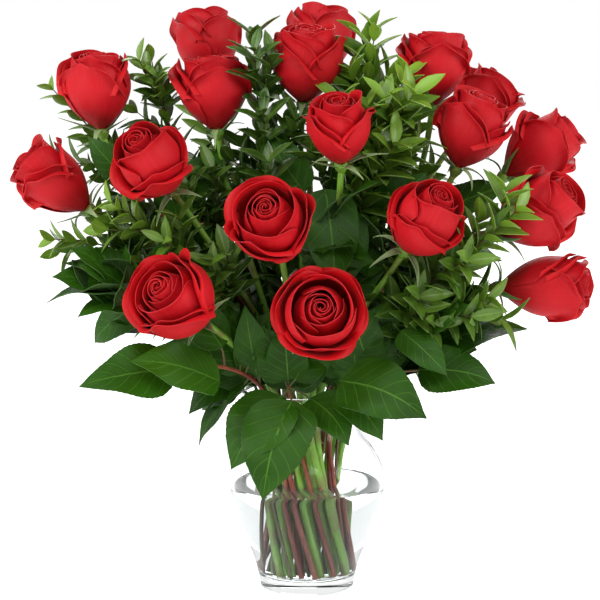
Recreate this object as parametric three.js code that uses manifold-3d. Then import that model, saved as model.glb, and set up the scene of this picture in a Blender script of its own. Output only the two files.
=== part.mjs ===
// Eighteen long-stemmed red roses with lemon leaf and myrtle, standing in a clear glass vase of water.
// Millimetres, +Z up. The origin is the centre of the vase's flat foot. The front of the bouquet
// faces -Y, and +X is to the right of someone who looks at the front.
import * as THREE from 'three';
import { mergeVertices } from 'three/addons/utils/BufferGeometryUtils.js';
import Module from 'manifold-3d';

const wasm = await Module();
wasm.setup();

// ---------------------------------------------------------------- driving dimensions

const GAP = 0.4; // clear space left between pieces that touch
const MARGIN = 1.5; // clear space aimed for between two stems

const VASE_SIDES = 22;
const VASE_WALL = 3.2;
const VASE_FLOOR = 10;
const VASE_OUTLINE = [
  [36, 0], [38, 2], [39, 9], [43, 24], [50.5, 43], [58, 62], [62, 78], [62.6, 90],
  [60, 102], [53.5, 114], [46.5, 123], [42.5, 131], [41.5, 139], [44, 148], [49.5, 156], [53, 160.5],
];
const LIP_TOP = 163;
const WATER_TOP = 84;

const NECK_Z = 137; // narrowest height, where the stems are bunched
const NECK_BUNCH = 33; // radius that the stems fill there
const FOOT_Z = 13.5; // height of the stems' cut ends
const TWIST = THREE.MathUtils.degToRad(64); // how far each stem turns round the axis below the neck

const STEM_RADIUS = 2.9;
const STEM_SIDES = 5;
const STEM_STEP = 30; // length of one straight facet of a rose stem
const TWIG_STEP = 27; // and of a thinner one
const HIP_RADIUS = 6.2;
const HIP_LENGTH = 11;
const SEPALS = 5;
const SEPAL_LENGTH = 24;
const BRANCH_RADIUS = 1.9;
const TWIG_RADIUS = 1.3;
const TWIG_SIDES = 4;
const STALK_SIDES = 3;
const LEAF_THICKNESS = 1.1;

const BLOOM_SIDES = 10;
const BLOOM_LIPS = 5;

// Each rose: base of the bloom [x, y, z], the way it faces [x, y, z], its length from hip to crown,
// the radius of its body and the radius of its rolled rim.
const ROSES = [
  { base: [-163, 8, 372], face: [-0.1, -0.1, 0.99], length: 60, girth: 26, rim: 25 },
  { base: [-174, -20, 311], face: [-0.74, -0.15, 0.66], length: 64, girth: 22.5, rim: 28 },
  { base: [-106, -40, 327], face: [-0.41, -0.6, 0.68], length: 62, girth: 27.5, rim: 27 },
  { base: [-80, 85, 407], face: [-0.1, 0.25, 0.96], length: 56, girth: 24.5, rim: 26 },
  { base: [-72, 14, 371], face: [-0.1, 0, 0.99], length: 58, girth: 26, rim: 28 },
  { base: [-3, 18, 393], face: [0.08, -0.2, 0.97], length: 60, girth: 27.5, rim: 28.5 },
  { base: [6, 95, 408], face: [0.15, 0.2, 0.97], length: 59, girth: 25, rim: 26 },
  { base: [26, -45, 349], face: [-0.05, -0.45, 0.89], length: 56, girth: 23, rim: 25 },
  { base: [-23, -68, 289], face: [-0.16, -0.82, 0.56], length: 58, girth: 30, rim: 33 },
  { base: [-82, -78, 231], face: [-0.5, -0.7, 0.5], length: 62, girth: 30, rim: 31 },
  { base: [8, -75, 229], face: [0.05, -0.93, 0.32], length: 56, girth: 31, rim: 35 },
  { base: [77, -60, 283], face: [0.4, -0.55, 0.73], length: 62, girth: 27, rim: 27 },
  { base: [100, 20, 390], face: [0.03, 0, 1], length: 57, girth: 24.5, rim: 28 },
  { base: [119, -6, 343], face: [0.35, -0.1, 0.93], length: 60, girth: 26.5, rim: 27 },
  { base: [126, 75, 362], face: [0.6, 0.15, 0.78], length: 59, girth: 24.5, rim: 28 },
  { base: [161, 26, 333], face: [0.77, 0.05, 0.58], length: 66, girth: 25.5, rim: 27 },
  { base: [153, -36, 292], face: [0.75, -0.35, 0.55], length: 66, girth: 27.5, rim: 28 },
  { base: [153, -28, 248], face: [0.98, -0.15, 0.06], length: 70, girth: 23, rim: 26 },
];

// Each lemon-leaf branch: where its wood ends, the way it grows there, and its leaves. A leaf has
// its base, its tip, its greatest half width, the way its upper side looks and how far it arches.
const SALAL = [
  {
    end: [-136, -50, 243], grow: [-0.93, -0.2, 0.3],
    leaves: [
      { base: [-152, -46, 244], tip: [-196, -60, 262], half: 17, side: [-0.1, -0.6, 0.8], arch: 5 },
      { base: [-141, -60, 238], tip: [-176, -76, 233], half: 11, side: [0, -0.5, 0.85], arch: 4 },
      { base: [-120, -34, 252], tip: [-112, -62, 288], half: 15, side: [0.2, -0.8, 0.3], arch: 5 },
    ],
  },
  {
    end: [-84, -80, 194], grow: [-0.85, -0.35, 0.2],
    leaves: [
      { base: [-102, -88, 194], tip: [-173, -103, 184], half: 25, side: [-0.05, -0.75, 0.65], arch: 7 },
      { base: [-67, -90, 184], tip: [-132, -114, 205], half: 21, side: [0.1, -0.7, 0.7], arch: 6 },
      { base: [-66, -62, 206], tip: [-100, -50, 250], half: 17, side: [0.4, -0.8, 0.3], arch: 5 },
    ],
  },
  {
    end: [-14, -62, 174], grow: [-0.1, -0.93, 0.1],
    leaves: [
      { base: [-20, -66, 168], tip: [-59, -97, 119], half: 26, side: [-0.35, -0.85, 0.4], arch: 8 },
      { base: [-12, -74, 166], tip: [-34, -110, 97], half: 27, side: [0, -0.93, 0.35], arch: 8 },
      { base: [2, -64, 166], tip: [32, -84, 134], half: 18, side: [0.3, -0.85, 0.4], arch: 5 },
    ],
  },
  {
    end: [50, -62, 184], grow: [0.7, -0.6, 0.2],
    leaves: [
      { base: [25, -76, 182], tip: [90, -106, 160], half: 21, side: [0.1, -0.85, 0.5], arch: 7 },
      { base: [86, -62, 188], tip: [145, -72, 181], half: 21, side: [0.1, -0.7, 0.7], arch: 6 },
      { base: [46, -52, 196], tip: [30, -66, 250], half: 18, side: [0.1, -0.95, 0.2], arch: 6 },
    ],
  },
  {
    end: [86, -40, 206], grow: [0.9, -0.2, 0.35],
    leaves: [
      { base: [92, -36, 202], tip: [172, -42, 219], half: 21, side: [-0.1, -0.6, 0.75], arch: 8 },
      { base: [88, -52, 216], tip: [124, -72, 241], half: 15, side: [-0.2, -0.7, 0.6], arch: 5 },
      { base: [72, -70, 220], tip: [107, -88, 189], half: 14, side: [0.2, -0.85, 0.4], arch: 6 },
    ],
  },
  {
    end: [10, -22, 322], grow: [0, -0.2, 0.95],
    leaves: [
      { base: [14, -32, 326], tip: [21, -74, 256], half: 22, side: [0.1, -0.9, 0.3], arch: -7 },
      { base: [-2, -14, 322], tip: [-34, 8, 372], half: 17, side: [-0.4, -0.75, 0.4], arch: 6 },
      { base: [22, -10, 318], tip: [62, 20, 356], half: 17, side: [0.4, -0.75, 0.4], arch: 6 },
    ],
  },
  {
    end: [-118, -8, 306], grow: [-0.75, -0.05, 0.65],
    leaves: [
      { base: [-137, -14, 330], tip: [-172, -18, 366], half: 13, side: [-0.3, -0.8, 0.4], arch: 5 },
      { base: [-104, 2, 310], tip: [-66, 16, 352], half: 16, side: [0.2, -0.85, 0.4], arch: 5 },
      { base: [-112, 8, 296], tip: [-168, 44, 312], half: 19, side: [-0.2, 0.3, 0.9], arch: 6 },
    ],
  },
  {
    end: [82, 2, 292], grow: [0.7, 0, 0.7],
    leaves: [
      { base: [64, -8, 296], tip: [92, -26, 338], half: 21, side: [-0.2, -0.9, 0.3], arch: 6 },
      { base: [102, 8, 302], tip: [158, 2, 326], half: 19, side: [-0.2, -0.75, 0.6], arch: 6 },
      { base: [96, 14, 272], tip: [152, 20, 270], half: 18, side: [0, -0.5, 0.85], arch: 6 },
    ],
  },
  {
    end: [-58, 66, 226], grow: [-0.6, 0.7, 0.35],
    leaves: [
      { base: [-30, 66, 186], tip: [-66, 104, 134], half: 25, side: [-0.3, 0.85, 0.4], arch: 8 },
      { base: [-66, 70, 212], tip: [-134, 96, 204], half: 23, side: [-0.2, 0.6, 0.75], arch: 7 },
      { base: [-62, 76, 238], tip: [-86, 126, 276], half: 20, side: [-0.2, 0.7, 0.6], arch: 6 },
      { base: [-48, 58, 240], tip: [-24, 84, 304], half: 20, side: [0.1, 0.9, 0.3], arch: 6 },
      { base: [-84, 62, 236], tip: [-146, 66, 268], half: 20, side: [-0.2, 0.4, 0.85], arch: 6 },
    ],
  },
  {
    end: [60, 64, 230], grow: [0.6, 0.7, 0.35],
    leaves: [
      { base: [22, 68, 180], tip: [42, 110, 116], half: 26, side: [0.1, 0.9, 0.4], arch: 8 },
      { base: [66, 62, 204], tip: [136, 84, 192], half: 23, side: [0.2, 0.6, 0.75], arch: 7 },
      { base: [56, 74, 240], tip: [62, 130, 270], half: 20, side: [0.1, 0.7, 0.6], arch: 6 },
      { base: [44, 58, 244], tip: [28, 90, 306], half: 20, side: [-0.1, 0.9, 0.3], arch: 6 },
      { base: [82, 58, 240], tip: [140, 74, 262], half: 20, side: [0.2, 0.4, 0.85], arch: 6 },
    ],
  },
];

// Each myrtle spray: its tip, the way it grows there, the length of it that carries leaves, the
// number of leaf pairs on that length, and the length of a leaf.
const MYRTLE = [
  { tip: [-204, 34, 400], grow: [-0.68, 0.1, 0.72], leafy: 150, pairs: 7, leaf: 19 },
  { tip: [-124, 22, 424], grow: [-0.15, 0.05, 0.98], leafy: 120, pairs: 6, leaf: 19 },
  { tip: [-198, -26, 286], grow: [-0.96, -0.1, -0.1], leafy: 120, pairs: 6, leaf: 20 },
  { tip: [-150, -62, 318], grow: [-0.8, -0.3, 0.5], leafy: 110, pairs: 5, leaf: 21 },
  { tip: [-42, 12, 442], grow: [0, 0.05, 1], leafy: 130, pairs: 6, leaf: 20 },
  { tip: [54, 12, 448], grow: [0.15, 0.05, 1], leafy: 120, pairs: 6, leaf: 24 },
  { tip: [78, -12, 412], grow: [0.25, -0.1, 0.96], leafy: 110, pairs: 6, leaf: 25 },
  { tip: [158, -86, 314], grow: [0.6, -0.35, 0.7], leafy: 110, pairs: 5, leaf: 22 },
  { tip: [138, -62, 244], grow: [0.9, -0.3, 0.1], leafy: 100, pairs: 5, leaf: 22 },
  { tip: [-92, 128, 372], grow: [-0.4, 0.5, 0.75], leafy: 150, pairs: 7, leaf: 21 },
  { tip: [84, 132, 366], grow: [0.4, 0.5, 0.75], leafy: 150, pairs: 7, leaf: 21 },
];

// ---------------------------------------------------------------- colours

const finish = (color, roughness, metalness = 0) => ({ color, roughness, metalness });
const RED = finish(0xb1121a, 0.6);
const STEM_GREEN = finish(0x5f8a34, 0.5);
const LEMON_LEAF = finish(0x2f6a23, 0.45);
const MYRTLE_GREEN = finish(0x3c6428, 0.5);
const CLEAR_GLASS = { color: 0xf2f6f6, roughness: 0.03, metalness: 0, transparent: true, opacity: 0.3 };
const CLEAR_WATER = { color: 0xe6f0f2, roughness: 0.02, metalness: 0, transparent: true, opacity: 0.35 };

// ---------------------------------------------------------------- solids

const vec = (list) => new THREE.Vector3(list[0], list[1], list[2]);

// A closed geometry as a solid that can be joined and cut.
function solidOf(geometry) {
  const bare = geometry.clone();
  bare.deleteAttribute('normal');
  bare.deleteAttribute('uv');
  const merged = mergeVertices(bare, 1e-4);
  const mesh = new wasm.Mesh({
    numProp: 3,
    vertProperties: new Float32Array(merged.attributes.position.array),
    triVerts: new Uint32Array(merged.index.array),
  });
  return new wasm.Manifold(mesh);
}

function geometryOf(solid) {
  const mesh = solid.getMesh();
  const geometry = new THREE.BufferGeometry();
  geometry.setAttribute('position', new THREE.BufferAttribute(new Float32Array(mesh.vertProperties), 3));
  geometry.setIndex(new THREE.BufferAttribute(new Uint32Array(mesh.triVerts), 1));
  geometry.computeVertexNormals();
  return geometry;
}

function joined(solids) {
  let whole = solids[0];
  for (const solid of solids.slice(1)) {
    whole = whole.add(solid);
  }
  return whole;
}

// The largest body of a solid: what is left of a leaf beyond a cut falls away.
function largestBody(solid) {
  const bodies = solid.decompose();
  bodies.sort((a, b) => b.volume() - a.volume());
  return bodies[0];
}

// Turns a direction into a frame: z along it, x towards the wanted side.
function frameAlong(along, side) {
  const z = along.clone().normalize();
  const x = side.clone().addScaledVector(z, -side.dot(z));
  if (x.lengthSq() < 1e-6) {
    x.set(z.y, z.z, z.x).addScaledVector(z, -(z.x * z.y + z.y * z.z + z.z * z.x));
  }
  x.normalize();
  const y = new THREE.Vector3().crossVectors(z, x);
  return new THREE.Matrix4().makeBasis(x, y, z);
}

// ---------------------------------------------------------------- vase and water

function insideRadius(z) {
  const outline = VASE_OUTLINE;
  for (let i = 1; i < outline.length; i += 1) {
    const [r0, z0] = outline[i - 1];
    const [r1, z1] = outline[i];
    if (z <= z1) {
      return r0 + ((r1 - r0) * (z - z0)) / (z1 - z0) - VASE_WALL;
    }
  }
  return outline[outline.length - 1][0] - VASE_WALL;
}

// The inside of the glass from the lip down to the floor, each height drawn in by the wall.
function insideOutline(shrink) {
  const points = [];
  for (const [radius, z] of VASE_OUTLINE) {
    if (z > VASE_FLOOR + 6) {
      points.push([radius - VASE_WALL - shrink, z]);
    }
  }
  points.reverse();
  points.push([insideRadius(VASE_FLOOR + 5) - shrink, VASE_FLOOR + 5]);
  points.push([insideRadius(VASE_FLOOR + 2) - 3 - shrink, VASE_FLOOR + 1 + shrink]);
  points.push([0, VASE_FLOOR + shrink]);
  return points;
}

function turned(outline, sides) {
  const points = outline.map(([radius, z]) => new THREE.Vector2(radius, z));
  const geometry = new THREE.LatheGeometry(points, sides);
  geometry.rotateX(Math.PI / 2);
  return geometry;
}

function vaseGeometry() {
  const lip = VASE_OUTLINE[VASE_OUTLINE.length - 1][0];
  const outline = [[0, 0], ...VASE_OUTLINE, [lip - 0.3, LIP_TOP], [lip - VASE_WALL + 0.5, LIP_TOP]];
  outline.push(...insideOutline(0));
  return turned(outline, VASE_SIDES);
}

function waterGeometry() {
  const outline = insideOutline(GAP).filter(([, z]) => z < WATER_TOP);
  const full = [[insideRadius(WATER_TOP) - GAP, WATER_TOP], ...outline];
  full.unshift([0, WATER_TOP]);
  full.reverse();
  return turned(full, VASE_SIDES);
}

// ---------------------------------------------------------------- routes of the stems

// Places in the neck spread evenly over the bunch, the way florets sit in a sunflower.
function neckPlaces(count) {
  const places = [];
  for (let i = 0; i < count; i += 1) {
    const radius = NECK_BUNCH * Math.sqrt((i + 0.5) / count);
    const turn = i * Math.PI * (3 - Math.sqrt(5));
    places.push(new THREE.Vector2(radius * Math.cos(turn), radius * Math.sin(turn)));
  }
  return places;
}

// Where in the neck a stem would like to be: on the side of its head, further out the more it leans.
function wishedPlace(stem) {
  const end = stem.end;
  const reach = Math.hypot(end.x, end.y);
  const lean = Math.atan2(reach, end.z - NECK_Z);
  const radius = NECK_BUNCH * Math.min(1, 0.25 + lean * 0.72);
  return new THREE.Vector2((end.x / reach) * radius, (end.y / reach) * radius);
}

// Gives each stem one place, then swaps pairs for as long as a swap brings both nearer to their wish.
function givePlaces(stems) {
  const places = neckPlaces(stems.length);
  const wishes = stems.map(wishedPlace);
  const cost = (stem, place) => wishes[stem].distanceToSquared(places[place]);
  const chosen = stems.map((stem, i) => i);
  for (let round = 0; round < 30; round += 1) {
    for (let a = 0; a < stems.length; a += 1) {
      for (let b = a + 1; b < stems.length; b += 1) {
        const now = cost(a, chosen[a]) + cost(b, chosen[b]);
        const swapped = cost(a, chosen[b]) + cost(b, chosen[a]);
        if (swapped < now - 1e-6) {
          [chosen[a], chosen[b]] = [chosen[b], chosen[a]];
        }
      }
    }
  }
  stems.forEach((stem, i) => {
    stem.neck = places[chosen[i]];
  });
}

// A straight run from the cut end up to the neck, then one easy bend into the base of the head.
function drawRoute(stem) {
  const foot = stem.neck.clone().rotateAround(new THREE.Vector2(0, 0), TWIST);
  const low = new THREE.Vector3(foot.x, foot.y, FOOT_Z);
  const neck = new THREE.Vector3(stem.neck.x, stem.neck.y, NECK_Z);
  const rise = neck.clone().sub(low).normalize();
  const far = neck.distanceTo(stem.end);
  const leave = neck.clone().addScaledVector(rise, far * 0.28);
  const arrive = stem.end.clone().addScaledVector(stem.grow, -far * 0.32);
  const bend = new THREE.CubicBezierCurve3(neck, leave, arrive, stem.end);
  const straight = new THREE.LineCurve3(low, neck);
  stem.low = straight.getSpacedPoints(20);
  stem.free = bend.getSpacedPoints(Math.round(far / 6));
  stem.rest = stem.free.map((point) => point.clone());
}

// Moves two points apart when they are nearer than they may be.
function partPoints(a, b, least, shareA) {
  const apart = a.clone().sub(b);
  const distance = apart.length();
  if (distance >= least || distance < 1e-6) {
    return;
  }
  apart.multiplyScalar((least - distance) / distance);
  a.addScaledVector(apart, shareA);
  b.addScaledVector(apart, shareA - 1);
}

function partStems(one, two) {
  const least = one.radius + two.radius + MARGIN + 0.9;
  for (let i = 1; i < one.free.length - 1; i += 1) {
    for (let j = 1; j < two.free.length - 1; j += 1) {
      if (Math.abs(one.free[i].z - two.free[j].z) < least) {
        partPoints(one.free[i], two.free[j], least, 0.5);
      }
    }
  }
}

// Keeps a stem out of another rose's petals.
function clearBloom(stem, rose) {
  for (let step = -0.1; step < 1; step += 0.15) {
    const middle = rose.end.clone().addScaledVector(rose.grow, rose.length * step);
    const radius = step < 0.1 ? HIP_RADIUS + 3 : rose.girth * (step < 0.25 ? 0.75 : 1.02);
    for (let i = 1; i < stem.free.length - 1; i += 1) {
      partPoints(stem.free[i], middle, radius + stem.radius + MARGIN, 1);
    }
  }
}

// Keeps a stem inside the mouth of the vase.
function clearGlass(stem) {
  for (const point of stem.free) {
    if (point.z < LIP_TOP + 4) {
      const room = insideRadius(point.z) - stem.radius - MARGIN;
      const radius = Math.hypot(point.x, point.y);
      if (radius > room) {
        point.x *= room / radius;
        point.y *= room / radius;
      }
    }
  }
}

// Spreads what the pushes did over the neighbours, so that a stem bends gently.
function smoothPush(stem) {
  const pushed = stem.free.map((point, i) => point.clone().sub(stem.rest[i]));
  for (let i = 1; i < stem.free.length - 1; i += 1) {
    const mean = pushed[i - 1].clone().add(pushed[i + 1]).multiplyScalar(0.5);
    const kept = pushed[i].clone().lerp(mean, 0.45);
    stem.free[i].copy(stem.rest[i]).add(kept);
  }
}

const SETTLING = 110;

function settleStems(stems, roses) {
  for (let round = 0; round < SETTLING; round += 1) {
    stems.forEach((stem, i) => {
      for (const other of stems.slice(i + 1)) {
        partStems(stem, other);
      }
      for (const rose of roses) {
        if (rose !== stem) {
          clearBloom(stem, rose);
        }
      }
      clearGlass(stem);
    });
    if (round < SETTLING - 3) {
      stems.forEach(smoothPush);
    }
  }
}

function routeOf(stem) {
  const points = [...stem.low.filter((point, i) => i % 5 === 0), ...stem.free.slice(1)];
  const thinned = points.filter((point, i) => i < 5 || i % 2 === 0 || i === points.length - 1);
  return new THREE.CatmullRomCurve3(thinned);
}

// ---------------------------------------------------------------- stems, leaves and blooms

function tube(curve, radius, sides, step) {
  const outline = new THREE.Shape();
  for (let i = 0; i < sides; i += 1) {
    const turn = (i * 2 * Math.PI) / sides;
    if (i === 0) {
      outline.moveTo(radius, 0);
    } else {
      outline.lineTo(radius * Math.cos(turn), radius * Math.sin(turn));
    }
  }
  outline.closePath();
  const steps = Math.max(2, Math.round(curve.getLength() / step));
  return new THREE.ExtrudeGeometry(outline, { steps, extrudePath: curve, bevelEnabled: false });
}

// A blade with a folded midrib: a thin box whose outline swells, tapers and arches from base to tip.
function bladeGeometry(leaf, grow) {
  const base = vec(leaf.base);
  const tip = vec(leaf.tip);
  const length = base.distanceTo(tip);
  const frame = frameAlong(tip.clone().sub(base), vec(leaf.side));
  const geometry = new THREE.BoxGeometry(1, 1, 1, 1, 2, 4);
  const position = geometry.attributes.position;
  const swell = (t) => Math.min(1, Math.sin(Math.PI * t ** 0.72) ** 0.8 + 0.04);
  for (let i = 0; i < position.count; i += 1) {
    const along = position.getZ(i) + 0.5;
    const across = position.getY(i) * 2;
    const face = position.getX(i) * 2;
    const width = leaf.half * swell(along) * across + across * grow;
    const fold = Math.abs(across) * leaf.half * swell(along) * 0.16;
    const arch = Math.sin(Math.PI * along) * leaf.arch;
    const thick = face * (LEAF_THICKNESS / 2 + grow);
    const end = (along - 0.5) * 2 * grow;
    position.setXYZ(i, thick + fold + arch, width, along * length + end);
  }
  geometry.applyMatrix4(frame);
  geometry.translate(base.x, base.y, base.z);
  return geometry;
}

// A small lance-shaped leaf: a long flat octahedron that starts on the twig.
function lanceGeometry(from, along, side, length, grow) {
  const geometry = new THREE.OctahedronGeometry(1, 0);
  geometry.scale(0.55 + grow, length * 0.17 + grow, length / 2 + grow);
  geometry.translate(0, 0, length / 2 - 0.8);
  geometry.applyMatrix4(frameAlong(along, side));
  geometry.translate(from.x, from.y, from.z);
  return geometry;
}

// The hip below a bloom with its five sepals: a turned bud whose middle ring is drawn out into a star.
function hipGeometry(rose, grow) {
  const outline = [
    [0, -HIP_LENGTH - grow], [STEM_RADIUS + grow, -HIP_LENGTH * 0.9 - grow],
    [HIP_RADIUS * 0.95 + grow, -HIP_LENGTH * 0.5 - grow], [HIP_RADIUS + grow, -HIP_LENGTH * 0.32 - grow],
    [HIP_RADIUS + 0.3 + grow, -HIP_LENGTH * 0.2 + grow], [HIP_RADIUS * 0.75, grow], [0, grow],
  ];
  const points = outline.map(([radius, z]) => new THREE.Vector2(radius, z));
  const geometry = new THREE.LatheGeometry(points, 2 * SEPALS);
  geometry.rotateX(Math.PI / 2);
  const position = geometry.attributes.position;
  for (let i = 0; i < position.count; i += 1) {
    const x = position.getX(i);
    const y = position.getY(i);
    const z = position.getZ(i);
    const star = Math.sin(SEPALS * Math.atan2(y, x)) > 0;
    if (star && z < -HIP_LENGTH * 0.1 && z > -HIP_LENGTH * 0.4 - grow) {
      const reach = (HIP_RADIUS + SEPAL_LENGTH + grow) / Math.hypot(x, y);
      const lift = z > -HIP_LENGTH * 0.25 ? 0.5 : 0;
      position.setXYZ(i, x * reach, y * reach, -HIP_LENGTH * 0.75 + lift + (z > -3 ? grow : -grow));
    }
  }
  geometry.applyMatrix4(frameAlong(rose.grow, new THREE.Vector3(0, 0, 1)));
  geometry.translate(rose.end.x, rose.end.y, rose.end.z);
  return geometry;
}

// The outer shape of a half-open bloom: a narrow base, a full body, five rolled lips at the rim and
// a crown of closed petals that stands in the middle.
function bloomGeometry(rose, grow) {
  const body = rose.girth;
  const rim = rose.rim;
  const tall = rose.length;
  const outline = [
    [0, 0.4], [5, 0.6], [body * 0.7, tall * 0.12], [body, tall * 0.36],
    [body * 0.97, tall * 0.66], [rim, tall * 0.87], [body * 0.62, tall * 0.92],
    [body * 0.4, tall], [0, tall * 0.97],
  ];
  const points = outline.map(([radius, z]) => new THREE.Vector2(radius, z));
  const geometry = new THREE.LatheGeometry(points, BLOOM_SIDES);
  geometry.rotateX(Math.PI / 2);
  const position = geometry.attributes.position;
  for (let i = 0; i < position.count; i += 1) {
    const x = position.getX(i);
    const y = position.getY(i);
    const z = position.getZ(i);
    const high = THREE.MathUtils.smoothstep(z / tall, 0.5, 0.86);
    const edge = Math.min(1, Math.hypot(x, y) / rim);
    const wave = Math.sin(BLOOM_LIPS * Math.atan2(y, x)) * high * edge;
    const wide = 1 + 0.07 * wave;
    const swell = grow / Math.max(body, 1);
    position.setXYZ(i, x * (wide + swell), y * (wide + swell), z + 2.2 * wave);
  }
  if (grow > 0) {
    const stretch = (tall + 2 * grow) / tall;
    geometry.scale(1, 1, stretch);
    geometry.translate(0, 0, -grow);
  }
  const start = new THREE.Vector3(0, 0, 1);
  geometry.applyMatrix4(frameAlong(rose.grow, start));
  geometry.translate(rose.end.x, rose.end.y, rose.end.z);
  return geometry;
}

// The point of a stem nearest to a place, from which a leaf stalk starts.
function nearestPoint(points, place) {
  let best = points[0];
  for (const point of points) {
    if (point.distanceTo(place) < best.distanceTo(place)) {
      best = point;
    }
  }
  return best;
}

function stalkGeometry(stem, leaf, grow) {
  const base = vec(leaf.base);
  const along = vec(leaf.tip).sub(base).normalize();
  const points = stem.free.slice(6, stem.free.length - 1);
  const from = nearestPoint(points, base.clone().addScaledVector(along, -12));
  const inside = base.clone().addScaledVector(along, 5);
  const before = base.clone().addScaledVector(along, -3);
  const curve = new THREE.QuadraticBezierCurve3(from, before, inside);
  return tube(curve, 1.2 + grow, STALK_SIDES, 20);
}

function leafSolids(stem, grow) {
  const solids = [];
  for (const leaf of stem.leaves) {
    solids.push(solidOf(bladeGeometry(leaf, grow)));
    solids.push(solidOf(stalkGeometry(stem, leaf, grow)));
  }
  return solids;
}

// Leaves in pairs along the top of a spray, each pair turned a quarter from the one below.
function sprayLeafSolids(stem, grow) {
  const solids = [];
  const route = new THREE.CatmullRomCurve3(stem.free);
  const length = route.getLength();
  for (let pair = 0; pair < stem.pairs; pair += 1) {
    const down = (stem.leafy * (pair + 0.2)) / stem.pairs;
    const u = Math.max(0.02, 1 - down / length);
    const from = route.getPointAt(u);
    const along = route.getTangentAt(u);
    const frame = frameAlong(along, new THREE.Vector3(0.3, 0.2, 1));
    for (const hand of [0, Math.PI]) {
      const turn = hand + (pair * Math.PI) / 2;
      const out = new THREE.Vector3(Math.cos(turn), Math.sin(turn), 1.1).transformDirection(frame);
      const size = stem.leaf * (pair < 2 ? 0.75 : 1);
      solids.push(solidOf(lanceGeometry(from, out, along, size, grow)));
    }
  }
  return solids;
}

// ---------------------------------------------------------------- the bouquet

function describeStems() {
  const roses = ROSES.map((rose) => ({
    ...rose, end: vec(rose.base), grow: vec(rose.face).normalize(), radius: STEM_RADIUS,
  }));
  const salal = SALAL.map((branch) => ({
    ...branch, end: vec(branch.end), grow: vec(branch.grow).normalize(), radius: BRANCH_RADIUS,
  }));
  const myrtle = MYRTLE.map((spray) => ({
    ...spray, end: vec(spray.tip), grow: vec(spray.grow).normalize(), radius: TWIG_RADIUS,
  }));
  return { roses, salal, myrtle };
}

function tubeSolid(stem, sides, grow) {
  const step = sides === STEM_SIDES ? STEM_STEP : TWIG_STEP;
  return solidOf(tube(routeOf(stem), stem.radius + grow, sides, step));
}

function named(name, solid, look) {
  const mesh = new THREE.Mesh(geometryOf(solid), new THREE.MeshStandardMaterial(look));
  mesh.name = name;
  return mesh;
}

function numbered(kind, i, rest = '') {
  return `${kind}_${String(i + 1).padStart(2, '0')}${rest}`;
}

function build() {
  const object = new THREE.Group();
  const { roses, salal, myrtle } = describeStems();
  const stems = [...roses, ...salal, ...myrtle];
  givePlaces(stems);
  stems.forEach(drawRoute);
  settleStems(stems, roses);

  const vase = solidOf(vaseGeometry());
  object.add(named('vase', vase, CLEAR_GLASS));
  let taken = vase;

  // Rose stems come first, then the blooms, so that greenery gives way to both.
  const fatTubes = [];
  roses.forEach((rose, i) => {
    const solid = tubeSolid(rose, STEM_SIDES, 0).add(solidOf(hipGeometry(rose, 0)));
    object.add(named(numbered('rose', i, '_stem'), largestBody(solid.subtract(taken)), STEM_GREEN));
    fatTubes.push(tubeSolid(rose, STEM_SIDES, GAP));
    taken = joined([taken, tubeSolid(rose, STEM_SIDES, GAP), solidOf(hipGeometry(rose, GAP))]);
  });
  roses.forEach((rose, i) => {
    const solid = largestBody(solidOf(bloomGeometry(rose, 0)).subtract(taken));
    object.add(named(numbered('rose', i, '_bloom'), solid, RED));
    taken = taken.add(solidOf(bloomGeometry(rose, GAP)));
  });

  // The bare wood of every branch is kept clear before any leaf is laid.
  const wood = (stem) => tubeSolid(stem, TWIG_SIDES, 0).subtract(taken);
  const salalWood = salal.map(wood);
  const myrtleWood = myrtle.map(wood);
  const fatWood = [...salal, ...myrtle].map((stem) => tubeSolid(stem, TWIG_SIDES, GAP));
  fatTubes.push(...fatWood);
  const otherWood = (own) => joined(fatWood.filter((solid, i) => i !== own));

  salal.forEach((branch, i) => {
    const leaves = joined(leafSolids(branch, 0)).subtract(taken).subtract(otherWood(i));
    const solid = largestBody(salalWood[i].add(leaves));
    object.add(named(numbered('salal', i), solid, LEMON_LEAF));
    taken = joined([taken, ...leafSolids(branch, GAP)]);
  });
  myrtle.forEach((spray, i) => {
    const own = salal.length + i;
    const leaves = joined(sprayLeafSolids(spray, 0)).subtract(taken).subtract(otherWood(own));
    const solid = largestBody(myrtleWood[i].add(leaves));
    object.add(named(numbered('myrtle', i), solid, MYRTLE_GREEN));
    taken = joined([taken, ...sprayLeafSolids(spray, GAP)]);
  });

  const water = largestBody(solidOf(waterGeometry()).subtract(joined(fatTubes)));
  object.add(named('water', water, CLEAR_WATER));
  return object;
}

export default build();
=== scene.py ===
import math

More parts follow.
